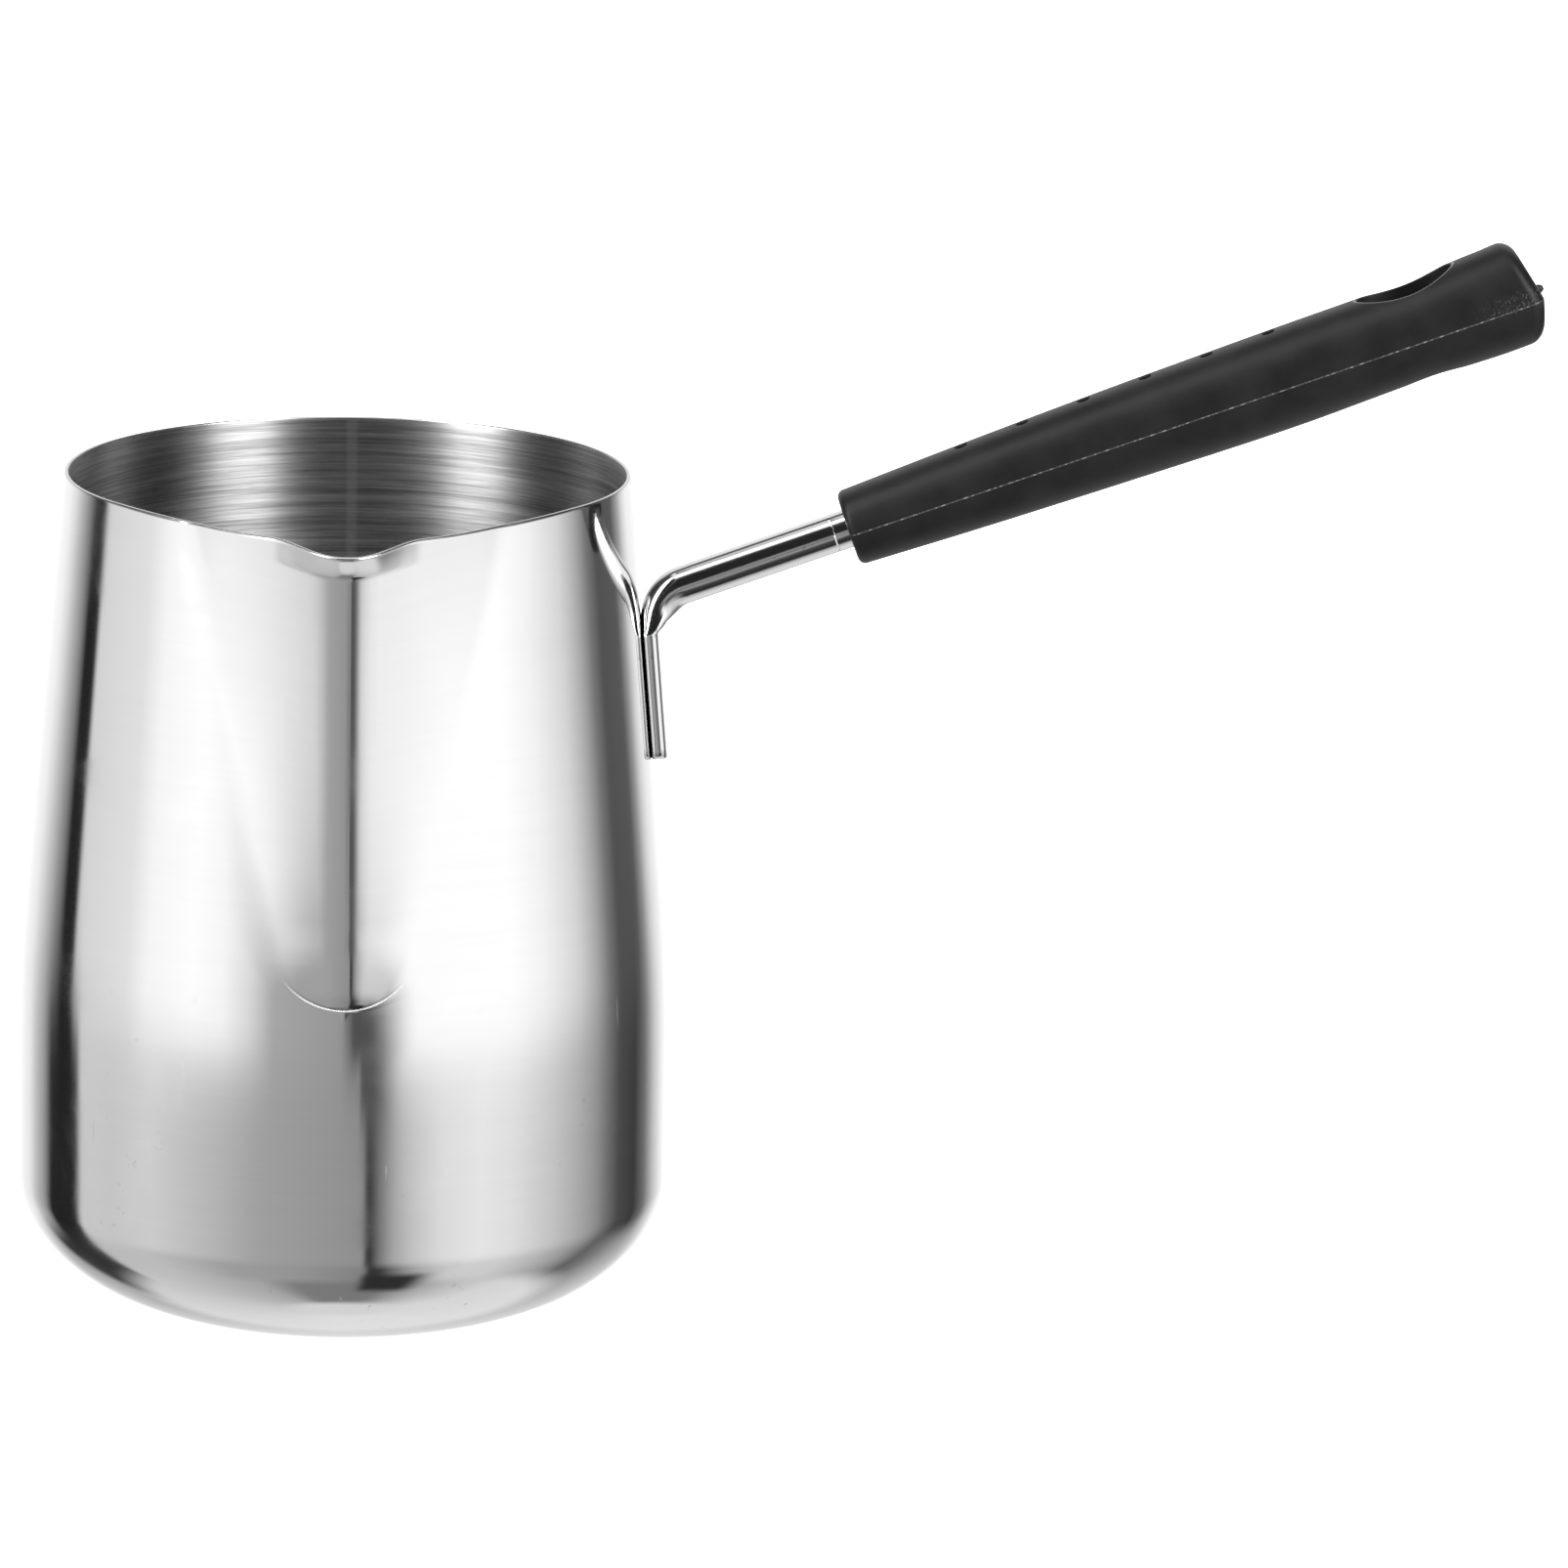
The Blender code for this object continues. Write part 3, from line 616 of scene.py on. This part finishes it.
def corner_ring(angles, turn):
    """Ring on the rounded base corner; turn runs from 0 at the base to pi/2."""
    power = 2.0 / CORNER_EXPONENT
    width = wall_radius(CORNER_HEIGHT) - BASE_FLAT_RADIUS
    radius = BASE_FLAT_RADIUS + width * math.sin(turn) ** power
    z = CORNER_HEIGHT * (1.0 - math.cos(turn) ** power)
    return [(radius * math.sin(a), -radius * math.cos(a), z) for a in angles]


def wall_heights():
    """Heights of the wall's rings, closer together at the spout's lower end and at the rim."""
    limits = (CORNER_HEIGHT, SPOUT_BOTTOM_Z - FOOT_BAND_BELOW, SPOUT_BOTTOM_Z + FOOT_BAND_ABOVE,
              POT_HEIGHT - RIM_BAND, POT_HEIGHT)
    heights = [low + (high - low) * i / count
               for low, high, count in zip(limits, limits[1:], WALL_ROWS) for i in range(count)]
    return heights + [POT_HEIGHT]


def outer_rings(angles):
    """Rings of the outer surface, from the flat of the base to the rim."""
    base = [[(r * math.sin(a), -r * math.cos(a), 0.0) for a in angles] for r in BASE_RINGS]
    turns = [0.5 * math.pi * i / CORNER_ROWS for i in range(CORNER_ROWS)]
    corner = [corner_ring(angles, turn) for turn in turns]
    return base + corner + [[vessel_point(a, z) for a in angles] for z in wall_heights()]


def ring_normals(rings):
    """Outward unit normals of a grid of rings, by central differences."""
    grid = np.array(rings)
    around = np.roll(grid, -1, axis=1) - np.roll(grid, 1, axis=1)
    up = np.gradient(grid, axis=0)
    normal = np.cross(around, up)
    return grid, normal / np.linalg.norm(normal, axis=2, keepdims=True)


def make_vessel(materials):
    """Sheet-steel vessel: polished outside, rounded cut rim, satin inside."""
    angles = vessel_angles()
    grid, normal = ring_normals(outer_rings(angles))
    inner = grid - normal * WALL
    rim_up = grid[-1] - grid[-2]
    rim_up /= np.linalg.norm(rim_up, axis=1, keepdims=True)
    rim = []
    for i in range(1, RIM_STEPS):
        turn = math.pi * i / RIM_STEPS
        side = 0.5 * WALL * (1.0 - math.cos(turn))
        rim.append(grid[-1] - normal[-1] * side + rim_up * RIM_CROWN * WALL * math.sin(turn))
    bm = bmesh.new()
    rings = list(grid) + rim + list(inner[::-1])
    loft(bm, [[tuple(point) for point in ring] for ring in rings])
    rim_start = (len(grid) - 1) * POT_SEGMENTS
    inside_start = rim_start + RIM_STEPS * POT_SEGMENTS
    for index, face in enumerate(bm.faces):
        face.material_index = (index >= rim_start) + (index >= inside_start)
    # the caps come last: the outside of the base, then its inside
    bm.faces.ensure_lookup_table()
    bm.faces[-2].material_index = 0
    vessel = link_object("vessel", bm, materials, VESSEL_SHARP_ANGLE)
    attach(vessel, "root")
    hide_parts("pot_body")


# ================================================================ handle tube
def handle_vectors():
    """Unit vectors along and across the handle axis, as (x, z)."""
    along = np.array((math.cos(HANDLE_TILT), math.sin(HANDLE_TILT)))
    across = np.array((-math.sin(HANDLE_TILT), math.cos(HANDLE_TILT)))
    return along, across


def handle_start():
    """Start of the handle axis, as (x, z)."""
    return np.array((HANDLE_START.x, HANDLE_START.z))


def tail_line():
    """Point, direction and outward normal of the tail's wall side, as (x, z)."""
    low = np.array((wall_radius(TAIL_BOTTOM_Z) - WELD_SINK, TAIL_BOTTOM_Z))
    high_z = TAIL_BOTTOM_Z + TAIL_SPAN
    high = np.array((wall_radius(high_z) - WELD_SINK, high_z))
    direction = (high - low) / np.linalg.norm(high - low)
    return low, direction, np.array((direction[1], -direction[0]))


def bend_centre():
    """Centre of the bend, tangent to the tail line and to the tube's upper side."""
    low, direction, normal = tail_line()
    along, across = handle_vectors()
    offset = handle_start() + (TUBE_RADIUS - BEND_OUTER_RADIUS) * across
    offset = offset - (low + BEND_OUTER_RADIUS * normal)
    climb, _ = np.linalg.solve(np.column_stack((direction, -along)), offset)
    return low + BEND_OUTER_RADIUS * normal + climb * direction, climb


def section_thickness(length):
    """Tube thickness in the bend's plane, by length from the start of the bend."""
    if length <= FLATTEN_START:
        return TAIL_THICKNESS
    full = 2.0 * TUBE_RADIUS - TAIL_THICKNESS
    return TAIL_THICKNESS + full * (1.0 - math.exp((FLATTEN_START - length) / FLATTEN_LENGTH))


def weld_dent(y, z, depth_share):
    """How deep the electrode has pressed the tail's outer face at this point."""
    dent = 0.0
    for spot in WELD_SPOTS_Z:
        away = math.hypot(y, z - spot) / WELD_SPOT_RADIUS
        dent = max(dent, smoothstep(WELD_SPOT_STEEPNESS * (1.0 - away)))
    return WELD_SPOT_DEPTH * dent * smoothstep(depth_share)


def tube_ring(edge, inward, thickness, trim=1.0):
    """Rounded section that starts at edge and lies along inward, as (x, z) vectors."""
    flat = (2.0 * TUBE_RADIUS - thickness) / (2.0 * TUBE_RADIUS - TAIL_THICKNESS)
    width = math.sqrt(2.0 * TUBE_RADIUS ** 2 - 0.25 * thickness ** 2) * trim
    power = 2.0 / (2.0 + (FLAT_EXPONENT - 2.0) * flat)
    points = []
    for i in range(TUBE_SIDES):
        angle = 2.0 * math.pi * i / TUBE_SIDES
        y = -width * signed_power(math.cos(angle), power)
        share = 0.5 * (1.0 + signed_power(math.sin(angle), power))
        hug = flat * y * y / (2.0 * wall_radius(TAIL_BOTTOM_Z))
        dent = weld_dent(y, edge[1], share) * flat
        x, z = edge + (share * thickness - hug - dent) * inward
        points.append((x, y, z))
    return points


def tail_rings(climb):
    """Rings of the flattened tail, from its rounded lower end to the bend."""
    low, direction, normal = tail_line()
    rings = []
    for i in range(TAIL_CORNER_STEPS + 1):
        turn = 0.5 * math.pi * i / TAIL_CORNER_STEPS
        rise = TAIL_CORNER * (1.0 - math.cos(turn))
        trim = 1.0 - TAIL_CORNER_NARROWING * (1.0 - math.sin(turn))
        rings.append(tube_ring(low + rise * direction, normal, TAIL_THICKNESS, trim))
    first = TAIL_CORNER + TAIL_CORNER_CLEARANCE
    for i in range(TAIL_ROWS):
        rise = first + (climb - first) * i / TAIL_ROWS
        rings.append(tube_ring(low + rise * direction, normal, section_thickness(rise - climb)))
    return rings


def bend_rings(centre):
    """Rings round the bend, from the tail's direction to the handle's."""
    _, direction, _ = tail_line()
    first = math.atan2(direction[1], direction[0])
    rings = []
    for i in range(BEND_STEPS):
        heading = first + (HANDLE_TILT - first) * i / BEND_STEPS
        inward = np.array((math.sin(heading), -math.cos(heading)))
        length = BEND_OUTER_RADIUS * (first - heading)
        edge = centre - BEND_OUTER_RADIUS * inward
        rings.append(tube_ring(edge, inward, section_thickness(length)))
    return rings


def round_ring(distance, radius):
    """Round ring about the handle axis, at a distance from its start."""
    along, across = handle_vectors()
    middle = handle_start() + distance * along
    points = []
    for side, rise in circle(radius, TUBE_SIDES):
        x, z = middle - rise * across
        points.append((x, -side, z))
    return points


def make_tube(material):
    """Bent tube with its welded flat tail, a small step beside the grip and an open end."""
    centre, climb = bend_centre()
    along, _ = handle_vectors()
    bend_end = float(np.dot(centre - handle_start(), along))
    rings = tail_rings(climb) + bend_rings(centre)
    collar = GRIP_FRONT - COLLAR_BEFORE_GRIP
    for i in range(1, STRAIGHT_ROWS + 1):
        distance = bend_end + (collar - bend_end) * i / (STRAIGHT_ROWS + 1)
        rings.append(round_ring(distance, TUBE_RADIUS))
    rings += [round_ring(collar + onward, TUBE_RADIUS + out) for onward, out in COLLAR_PROFILE]
    end = ((TUBE_IN_GRIP - TUBE_END_BEVEL, COLLAR_STEP), (TUBE_IN_GRIP, COLLAR_STEP - TUBE_END_BEVEL))
    rings += [round_ring(distance, TUBE_RADIUS + step) for distance, step in end]
    bore = TUBE_RADIUS - TUBE_WALL
    rings += [round_ring(TUBE_IN_GRIP, bore), round_ring(bend_end + BORE_FULL_AFTER_BEND, bore)]
    rings.append(round_ring(bend_end + BORE_TIP_AFTER_BEND, BORE_TIP_SHARE * bore))
    bm = bmesh.new()
    loft(bm, rings)
    tube = link_object("bent_tube", bm, [material])
    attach(tube, "root")
    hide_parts("handle_tube")


# ================================================================ grip
def grip_size(distance):
    """Half width, upper height and lower height of the grip."""
    return (cubic_through(GRIP_STATIONS, GRIP_HALF_WIDTHS, distance),
            cubic_through(GRIP_STATIONS, GRIP_UPPER_HEIGHTS, distance),
            cubic_through(GRIP_STATIONS, GRIP_LOWER_HEIGHTS, distance))


def grip_ring(distance, inset=0.0, end_draft=0.0):
    """Section of the grip: two arcs that meet in a slight crease at the parting line."""
    half_width, upper, lower = (size - inset for size in grip_size(distance))
    power = 2.0 / GRIP_FULLNESS
    points = []
    for i in range(GRIP_SIDES):
        angle = 2.0 * math.pi * i / GRIP_SIDES
        rise = signed_power(math.sin(angle), power)
        y = half_width * signed_power(math.cos(angle), power) * (1.0 - GRIP_DRAFT * abs(rise))
        z = rise * (upper if rise > 0.0 else lower)
        points.append((distance - end_draft * abs(z), y, z))
    return points


def bore_ring(distance, radius):
    """Ring of the blind bore that takes the tube."""
    return [(distance, y, z) for y, z in circle(radius, GRIP_SIDES)]


def grip_rings():
    """Rings from the inner end of the bore, out round the front, to the rounded end."""
    bore = TUBE_RADIUS + COLLAR_STEP + GRIP_BORE_PLAY
    rings = [bore_ring(BORE_END, bore), bore_ring(GRIP_FRONT + GRIP_BORE_BEVEL, bore),
             bore_ring(GRIP_FRONT, bore + GRIP_BORE_BEVEL)]
    for i in range(GRIP_FRONT_STEPS + 1):
        turn = 0.5 * math.pi * i / GRIP_FRONT_STEPS
        inset = GRIP_FRONT_ROUND * (1.0 - math.sin(turn))
        rings.append(grip_ring(GRIP_FRONT + GRIP_FRONT_ROUND * (1.0 - math.cos(turn)), inset))
    first = GRIP_FRONT + GRIP_FRONT_ROUND + GRIP_FRONT_MARGIN
    last = GRIP_END - GRIP_END_ROUND - GRIP_END_MARGIN
    for i in range(GRIP_RINGS + 1):
        rings.append(grip_ring(first + (last - first) * i / GRIP_RINGS))
    for i in range(GRIP_END_STEPS + 1):
        turn = 0.5 * math.pi * i / GRIP_END_STEPS
        distance = GRIP_END - GRIP_END_ROUND * (1.0 - math.sin(turn))
        rings.append(grip_ring(distance, GRIP_END_ROUND * (1.0 - math.cos(turn)), GRIP_END_DRAFT))
    return rings


def surface_height(distance, y, upper_side):
    """Height of the grip's surface above or below its axis at one point."""
    half_width, upper, lower = grip_size(distance)
    rise = 1.0
    for _ in range(GRIP_HEIGHT_PASSES):
        across = min(abs(y) / (half_width * (1.0 - GRIP_DRAFT * rise)), 0.999)
        rise = (1.0 - across ** GRIP_FULLNESS) ** (1.0 / GRIP_FULLNESS)
    return rise * (upper if upper_side else -lower)


def hole_ring(grow, depth, upper_side):
    """Ring of the hang hole's cutter, at a depth below the grip's surface."""
    share = 1.0 if upper_side else 1.0 - HOLE_NARROWING
    points = []
    for i in range(HOLE_SIDES):
        angle = 2.0 * math.pi * i / HOLE_SIDES
        x = HOLE_CENTRE + (share * HOLE_HALF_LENGTH + grow) * math.cos(angle)
        y = (share * HOLE_HALF_WIDTH + grow) * math.sin(angle)
        height = surface_height(x, y, upper_side)
        points.append((x, y, height - depth if upper_side else height + depth))
    return points


def make_hole_cutter():
    """Elliptic bar that cuts the hang hole, flared where it meets the surface."""
    arc = []
    for i in range(HOLE_EDGE_STEPS + 1):
        turn = HOLE_EDGE_TURN * i / HOLE_EDGE_STEPS
        arc.append((HOLE_EDGE_ROUND * (1.0 - math.cos(turn)),
                    HOLE_EDGE_ROUND * (1.0 - math.sin(turn))))
    grow, depth = arc[-1]
    grow += HOLE_CUTTER_FLARE * math.sin(HOLE_EDGE_TURN)
    depth -= HOLE_CUTTER_FLARE * math.cos(HOLE_EDGE_TURN)
    arc.append((grow, depth - HOLE_CUTTER_CLEARANCE))
    arc.append((grow, -HOLE_CUTTER_REACH))
    rings = [hole_ring(grow, depth, False) for grow, depth in reversed(arc)]
    rings += [hole_ring(grow, depth, True) for grow, depth in arc]
    bm = bmesh.new()
    loft(bm, rings)
    return link_object("hang_hole_cutter", bm, [])


def make_dimple_cutter():
    """Round pegs with flared tops that cut the dimples along the crest."""
    bm = bmesh.new()
    for i in range(DIMPLE_COUNT):
        distance = DIMPLE_FIRST + i * DIMPLE_PITCH
        crest = surface_height(distance, DIMPLE_SIDE, True)
        loft(bm, [[(distance + x, DIMPLE_SIDE + y, crest - depth)
                   for x, y in circle(DIMPLE_RADIUS + grow, PEG_SIDES)]
                  for grow, depth in DIMPLE_PROFILE])
    return link_object("dimple_cutter", bm, [])


def make_nib():
    """Small gate stub left on the grip's end."""
    bm = bmesh.new()
    loft(bm, [[(GRIP_END + beyond, y, NIB_RISE + z) for y, z in circle(radius, PEG_SIDES)]
              for beyond, radius in NIB_PROFILE])
    return link_object("gate_nib", bm, [])


def apply_boolean(obj, tool, operation):
    """Cut or join with a tool object, keep the result and remove the tool."""
    modifier = obj.modifiers.new(tool.name, "BOOLEAN")
    modifier.operation = operation
    modifier.solver = "EXACT"
    modifier.object = tool
    bpy.context.view_layer.update()
    evaluated = obj.evaluated_get(bpy.context.evaluated_depsgraph_get())
    mesh = bpy.data.meshes.new_from_object(evaluated)
    obj.modifiers.remove(modifier)
    obj.data = mesh
    bpy.data.objects.remove(tool, do_unlink=True)


def make_grip(material):
    """Moulded grip, in its own frame along the handle axis."""
    bm = bmesh.new()
    loops = loft(bm, grip_rings(), cap_end=False)
    # the end is closed by two faces that meet at the parting line
    half = GRIP_SIDES // 2
    last = loops[-1]
    bm.faces.new([last[i] for i in range(half + 1)])
    bm.faces.new([last[i % GRIP_SIDES] for i in range(half, GRIP_SIDES + 1)])
    grip = link_object("grip", bm, [material], GRIP_SHARP_ANGLE)
    apply_boolean(grip, make_hole_cutter(), "DIFFERENCE")
    apply_boolean(grip, make_dimple_cutter(), "DIFFERENCE")
    apply_boolean(grip, make_nib(), "UNION")
    grip.data.shade_smooth()
    grip.data.set_sharp_from_angle(angle=GRIP_SHARP_ANGLE)
    grip.matrix_world = (Matrix.Translation(HANDLE_START)
                         @ Matrix.Rotation(-HANDLE_TILT, 4, "Y"))
    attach(grip, "root")
    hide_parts("handle_grip")


# ================================================================ studio
FLOOR_RADIUS = 6.0
FLOOR_GLOW = 0.75
CAMERA_PLACE = Vector((0.0, -1.26021, 0.38417))
CAMERA_TARGET = Vector((0.06763, 0.00179, 0.07958))
CAMERA_ROLL = math.radians(1.134)
CAMERA_LENS = 193.15
CAMERA_SENSOR = 36.0
CAMERA_REACH = 50.0

# Studio brightness as the steel mirrors it, in rows from straight down to well above the horizon.
# Each row runs by azimuth in degrees from the spout's side, + to the right: (azimuth, level).
UNDER_ROW = ((-180, 0.90), (-100, 0.68), (-60, 0.54), (-40, 0.46), (-22, 0.24), (20, 0.22),
             (34, 0.40), (55, 0.62), (85, 0.82), (180, 0.90))
LOW_ROW = ((-180, 0.80), (-160, 0.56), (-150, 0.46), (-142, 0.05), (-122, 0.03), (-112, 0.05),
           (-108, 0.62), (-80, 0.62), (-60, 0.52), (-45, 0.42), (-20, 0.37), (0, 0.30),
           (8, 0.27), (10, 0.03), (15, 0.05), (20, 0.20), (26, 0.40), (34, 0.60), (46, 0.76),
           (62, 0.74), (80, 0.56), (95, 0.38), (110, 0.14), (122, 0.22), (140, 0.42),
           (160, 0.64), (180, 0.80))
MIDDLE_ROW = ((-180, 1.06), (-162, 1.02), (-150, 0.92), (-142, 0.60), (-134, 0.36), (-128, 0.02),
              (-110, 0.02), (-107, 0.72), (-90, 0.68), (-72, 0.74), (-48, 0.57), (-30, 0.43),
              (-10, 0.38), (7, 0.34), (8.5, 0.04), (10, 0.04), (13, 0.22), (18, 0.46), (25, 0.66),
              (35, 0.86), (50, 0.97), (62, 0.90), (80, 0.67), (95, 0.45), (102, 0.34),
              (108, 0.20), (116, 0.08), (128, 0.05), (137, 0.19), (148, 0.66), (158, 0.95),
              (168, 1.10))
UPPER_ROW = ((-180, 1.15), (-150, 1.05), (-142, 0.88), (-134, 0.57), (-126, 0.28), (-121, 0.02),
             (-114, 0.02), (-111, 0.80), (-84, 0.92), (-74, 1.14), (-55, 1.22), (-44, 1.14),
             (-34, 0.86), (-25, 0.47), (-1, 0.37), (2, 0.16), (4, 0.14), (7, 0.50), (10, 1.10),
             (28, 1.22), (62, 1.24), (76, 1.10), (92, 0.82), (102, 0.50), (110, 0.22),
             (117, 0.10), (132, 0.12), (139, 0.40), (145, 0.80), (152, 1.05))
HIGH_ROW = ((-180, 1.05), (-150, 0.90), (-134, 0.15), (-112, 0.12), (-80, 0.16), (-70, 0.40),
            (-65, 7.6), (-47, 7.6), (-41, 0.25), (-25, 0.02), (20, 0.02), (29, 0.25), (35, 7.6),
            (55, 7.6), (61, 0.25), (84, 0.06), (108, 0.03), (136, 0.15), (150, 0.90), (180, 1.05))
# Each row gives way to the next one up between two elevations, in degrees.
ROW_EDGES = ((-56, -44), (-33, -20), (-16, -8), (-3, 7))
NADIR_SPAN = (-84.0, -77.0)
NADIR_LEVEL = 0.80
# Patches: azimuth where it starts, is full, still full and ends, elevation the same, level.
FRONT_FLAGS = ((5, 11, 28, 42, -67, -58, -45, -34, 0.03),
               (2, 3.5, 8, 27, -12.5, -9.5, -7.5, -5, 0.09),
               (5, 6.5, 9, 22, -16, -13.5, -11.5, -9, 0.10))
# The boxes end well up, where the studio is dark but for what hangs overhead.
ABOVE_SPAN = (62.0, 72.0)
ABOVE_LEVEL = 0.10
OVERHEAD_ELEVATION = (25.0, 48.0)
OVERHEAD_HALF_WIDTH = (0.30, 0.42)
# A light, then a dark gap behind it: where it starts, is full, still full and ends, in degrees
# turned up and over from straight ahead, and its level.
OVERHEAD_BANDS = ((57.0, 62.0, 104.0, 108.0, 1.25), (106.0, 110.0, 122.0, 128.0, 0.06))


def row_level(graph, place, row):
    """Brightness along one row of the studio."""
    ramp = graph.add("ShaderNodeValToRGB")
    graph.feed(ramp.inputs[0], place)
    stops = ramp.color_ramp.elements
    stops.remove(stops[1])
    for index, (azimuth, level) in enumerate(row):
        position = (azimuth + 180.0) / 360.0
        stop = stops[0] if index == 0 else stops.new(position)
        stop.position = position
        stop.color = (level, level, level, 1.0)
    return ramp.outputs["Color"]


def span_share(graph, value, span):
    """1 between the two middle limits of a span, easing to 0 at the outer two."""
    return graph.math("MULTIPLY", graph.ramp(value, span[0], span[1]),
                      graph.ramp(value, span[2], span[3], 1.0, 0.0))


def patch_share(graph, azimuth, elevation, patch):
    """1 inside a soft-edged patch of the studio, 0 outside it."""
    return graph.math("MULTIPLY", span_share(graph, azimuth, patch[:4]),
                      span_share(graph, elevation, patch[4:8]))


def make_world():
    """Studio whose soft boxes, flags and dark front the steel mirrors; plain white to the camera."""
    world = bpy.data.worlds.new("studio")
    world.use_nodes = True
    bpy.context.scene.world = world
    graph = Graph(world.node_tree)
    graph.nodes.clear()
    direction = graph.add("ShaderNodeTexCoord").outputs["Generated"]
    x, y, z = graph.separate(direction)
    front = graph.math("MULTIPLY", y, -1.0)
    azimuth = graph.math("DEGREES", graph.math("ARCTAN2", x, front))
    elevation = graph.math("DEGREES", graph.math("ARCSINE", z))
    place = graph.math("DIVIDE", graph.math("ADD", azimuth, 180.0), 360.0)
    level = row_level(graph, place, UNDER_ROW)
    for row, (low, high) in zip((LOW_ROW, MIDDLE_ROW, UPPER_ROW, HIGH_ROW), ROW_EDGES):
        share = graph.ramp(elevation, low, high)
        level = graph.mix(share, level, row_level(graph, place, row))
    for flag in FRONT_FLAGS:
        level = graph.mix(patch_share(graph, azimuth, elevation, flag), level, flag[-1])
    level = graph.mix(graph.ramp(elevation, *NADIR_SPAN, 1.0, 0.0), level, NADIR_LEVEL)
    level = graph.mix(graph.ramp(elevation, *ABOVE_SPAN), level, ABOVE_LEVEL)
    forward = graph.math("DEGREES", graph.math("ARCTAN2", z, front))
    steep = graph.math("MULTIPLY", graph.ramp(elevation, *OVERHEAD_ELEVATION),
                       line_share(graph, x, 0.0, OVERHEAD_HALF_WIDTH))
    for band in OVERHEAD_BANDS:
        share = graph.math("MULTIPLY", span_share(graph, forward, band[:4]), steep)
        level = graph.mix(share, level, band[-1])
    seen = graph.add("ShaderNodeLightPath").outputs["Is Camera Ray"]
    level = graph.mix(seen, level, 1.0)
    background = graph.add("ShaderNodeBackground")
    graph.feed(background.inputs["Color"], graph.combine(level, level, level))
    output = graph.add("ShaderNodeOutputWorld")
    graph.feed(output.inputs[0], background.outputs[0])


def make_floor():
    """Plain pale floor."""
    material, graph, shader, place = new_material("pale_floor", (0.90, 0.90, 0.90), 0.9, 0.0)
    mottle = graph.noise(place, 2.0, 2.0)
    graph.feed(shader.inputs["Base Color"], graph.mix_colour(mottle, FLOOR_DARK, FLOOR_LIGHT))
    shader.inputs["Emission Color"].default_value = (1.0, 1.0, 1.0, 1.0)
    shader.inputs["Emission Strength"].default_value = FLOOR_GLOW
    bm = bmesh.new()
    bmesh.ops.create_circle(bm, cap_ends=True, segments=FLOOR_SIDES, radius=FLOOR_RADIUS)
    floor = link_object("floor", bm, [material])
    floor.visible_glossy = False


def add_area(name, location, target, size, power):
    """Soft area light that doesn't show in the steel."""
    light = bpy.data.lights.new(name, "AREA")
    light.shape = "DISK"
    light.size = size
    light.energy = power
    lamp = bpy.data.objects.new(name, light)
    lamp.location = location
    lamp.rotation_euler = (Vector(target) - Vector(location)).to_track_quat("-Z", "Y").to_euler()
    lamp.visible_glossy = False
    bpy.context.scene.collection.objects.link(lamp)


def make_camera():
    """Camera in front of the spout, looking down a little on the rim."""
    camera = bpy.data.cameras.new("camera")
    camera.lens = CAMERA_LENS
    camera.sensor_width = CAMERA_SENSOR
    camera.clip_end = CAMERA_REACH
    rig = bpy.data.objects.new("camera", camera)
    look = (CAMERA_TARGET - CAMERA_PLACE).to_track_quat("-Z", "Y").to_matrix().to_4x4()
    rig.matrix_world = (Matrix.Translation(CAMERA_PLACE) @ look
                        @ Matrix.Rotation(CAMERA_ROLL, 4, "Z"))
    bpy.context.scene.collection.objects.link(rig)
    bpy.context.scene.camera = rig


# ================================================================ build
make_camera()
make_world()
make_floor()
add_area("top_light", location=(0.0, -0.3, 2.2), target=(0.0, 0.0, 0.0), size=2.5, power=55.0)
make_vessel([polished_outside(), cut_rim(), satin_inside()])
make_tube(tube_steel())
make_grip(grip_plastic())
bpy.context.scene.view_settings.view_transform = "Standard"
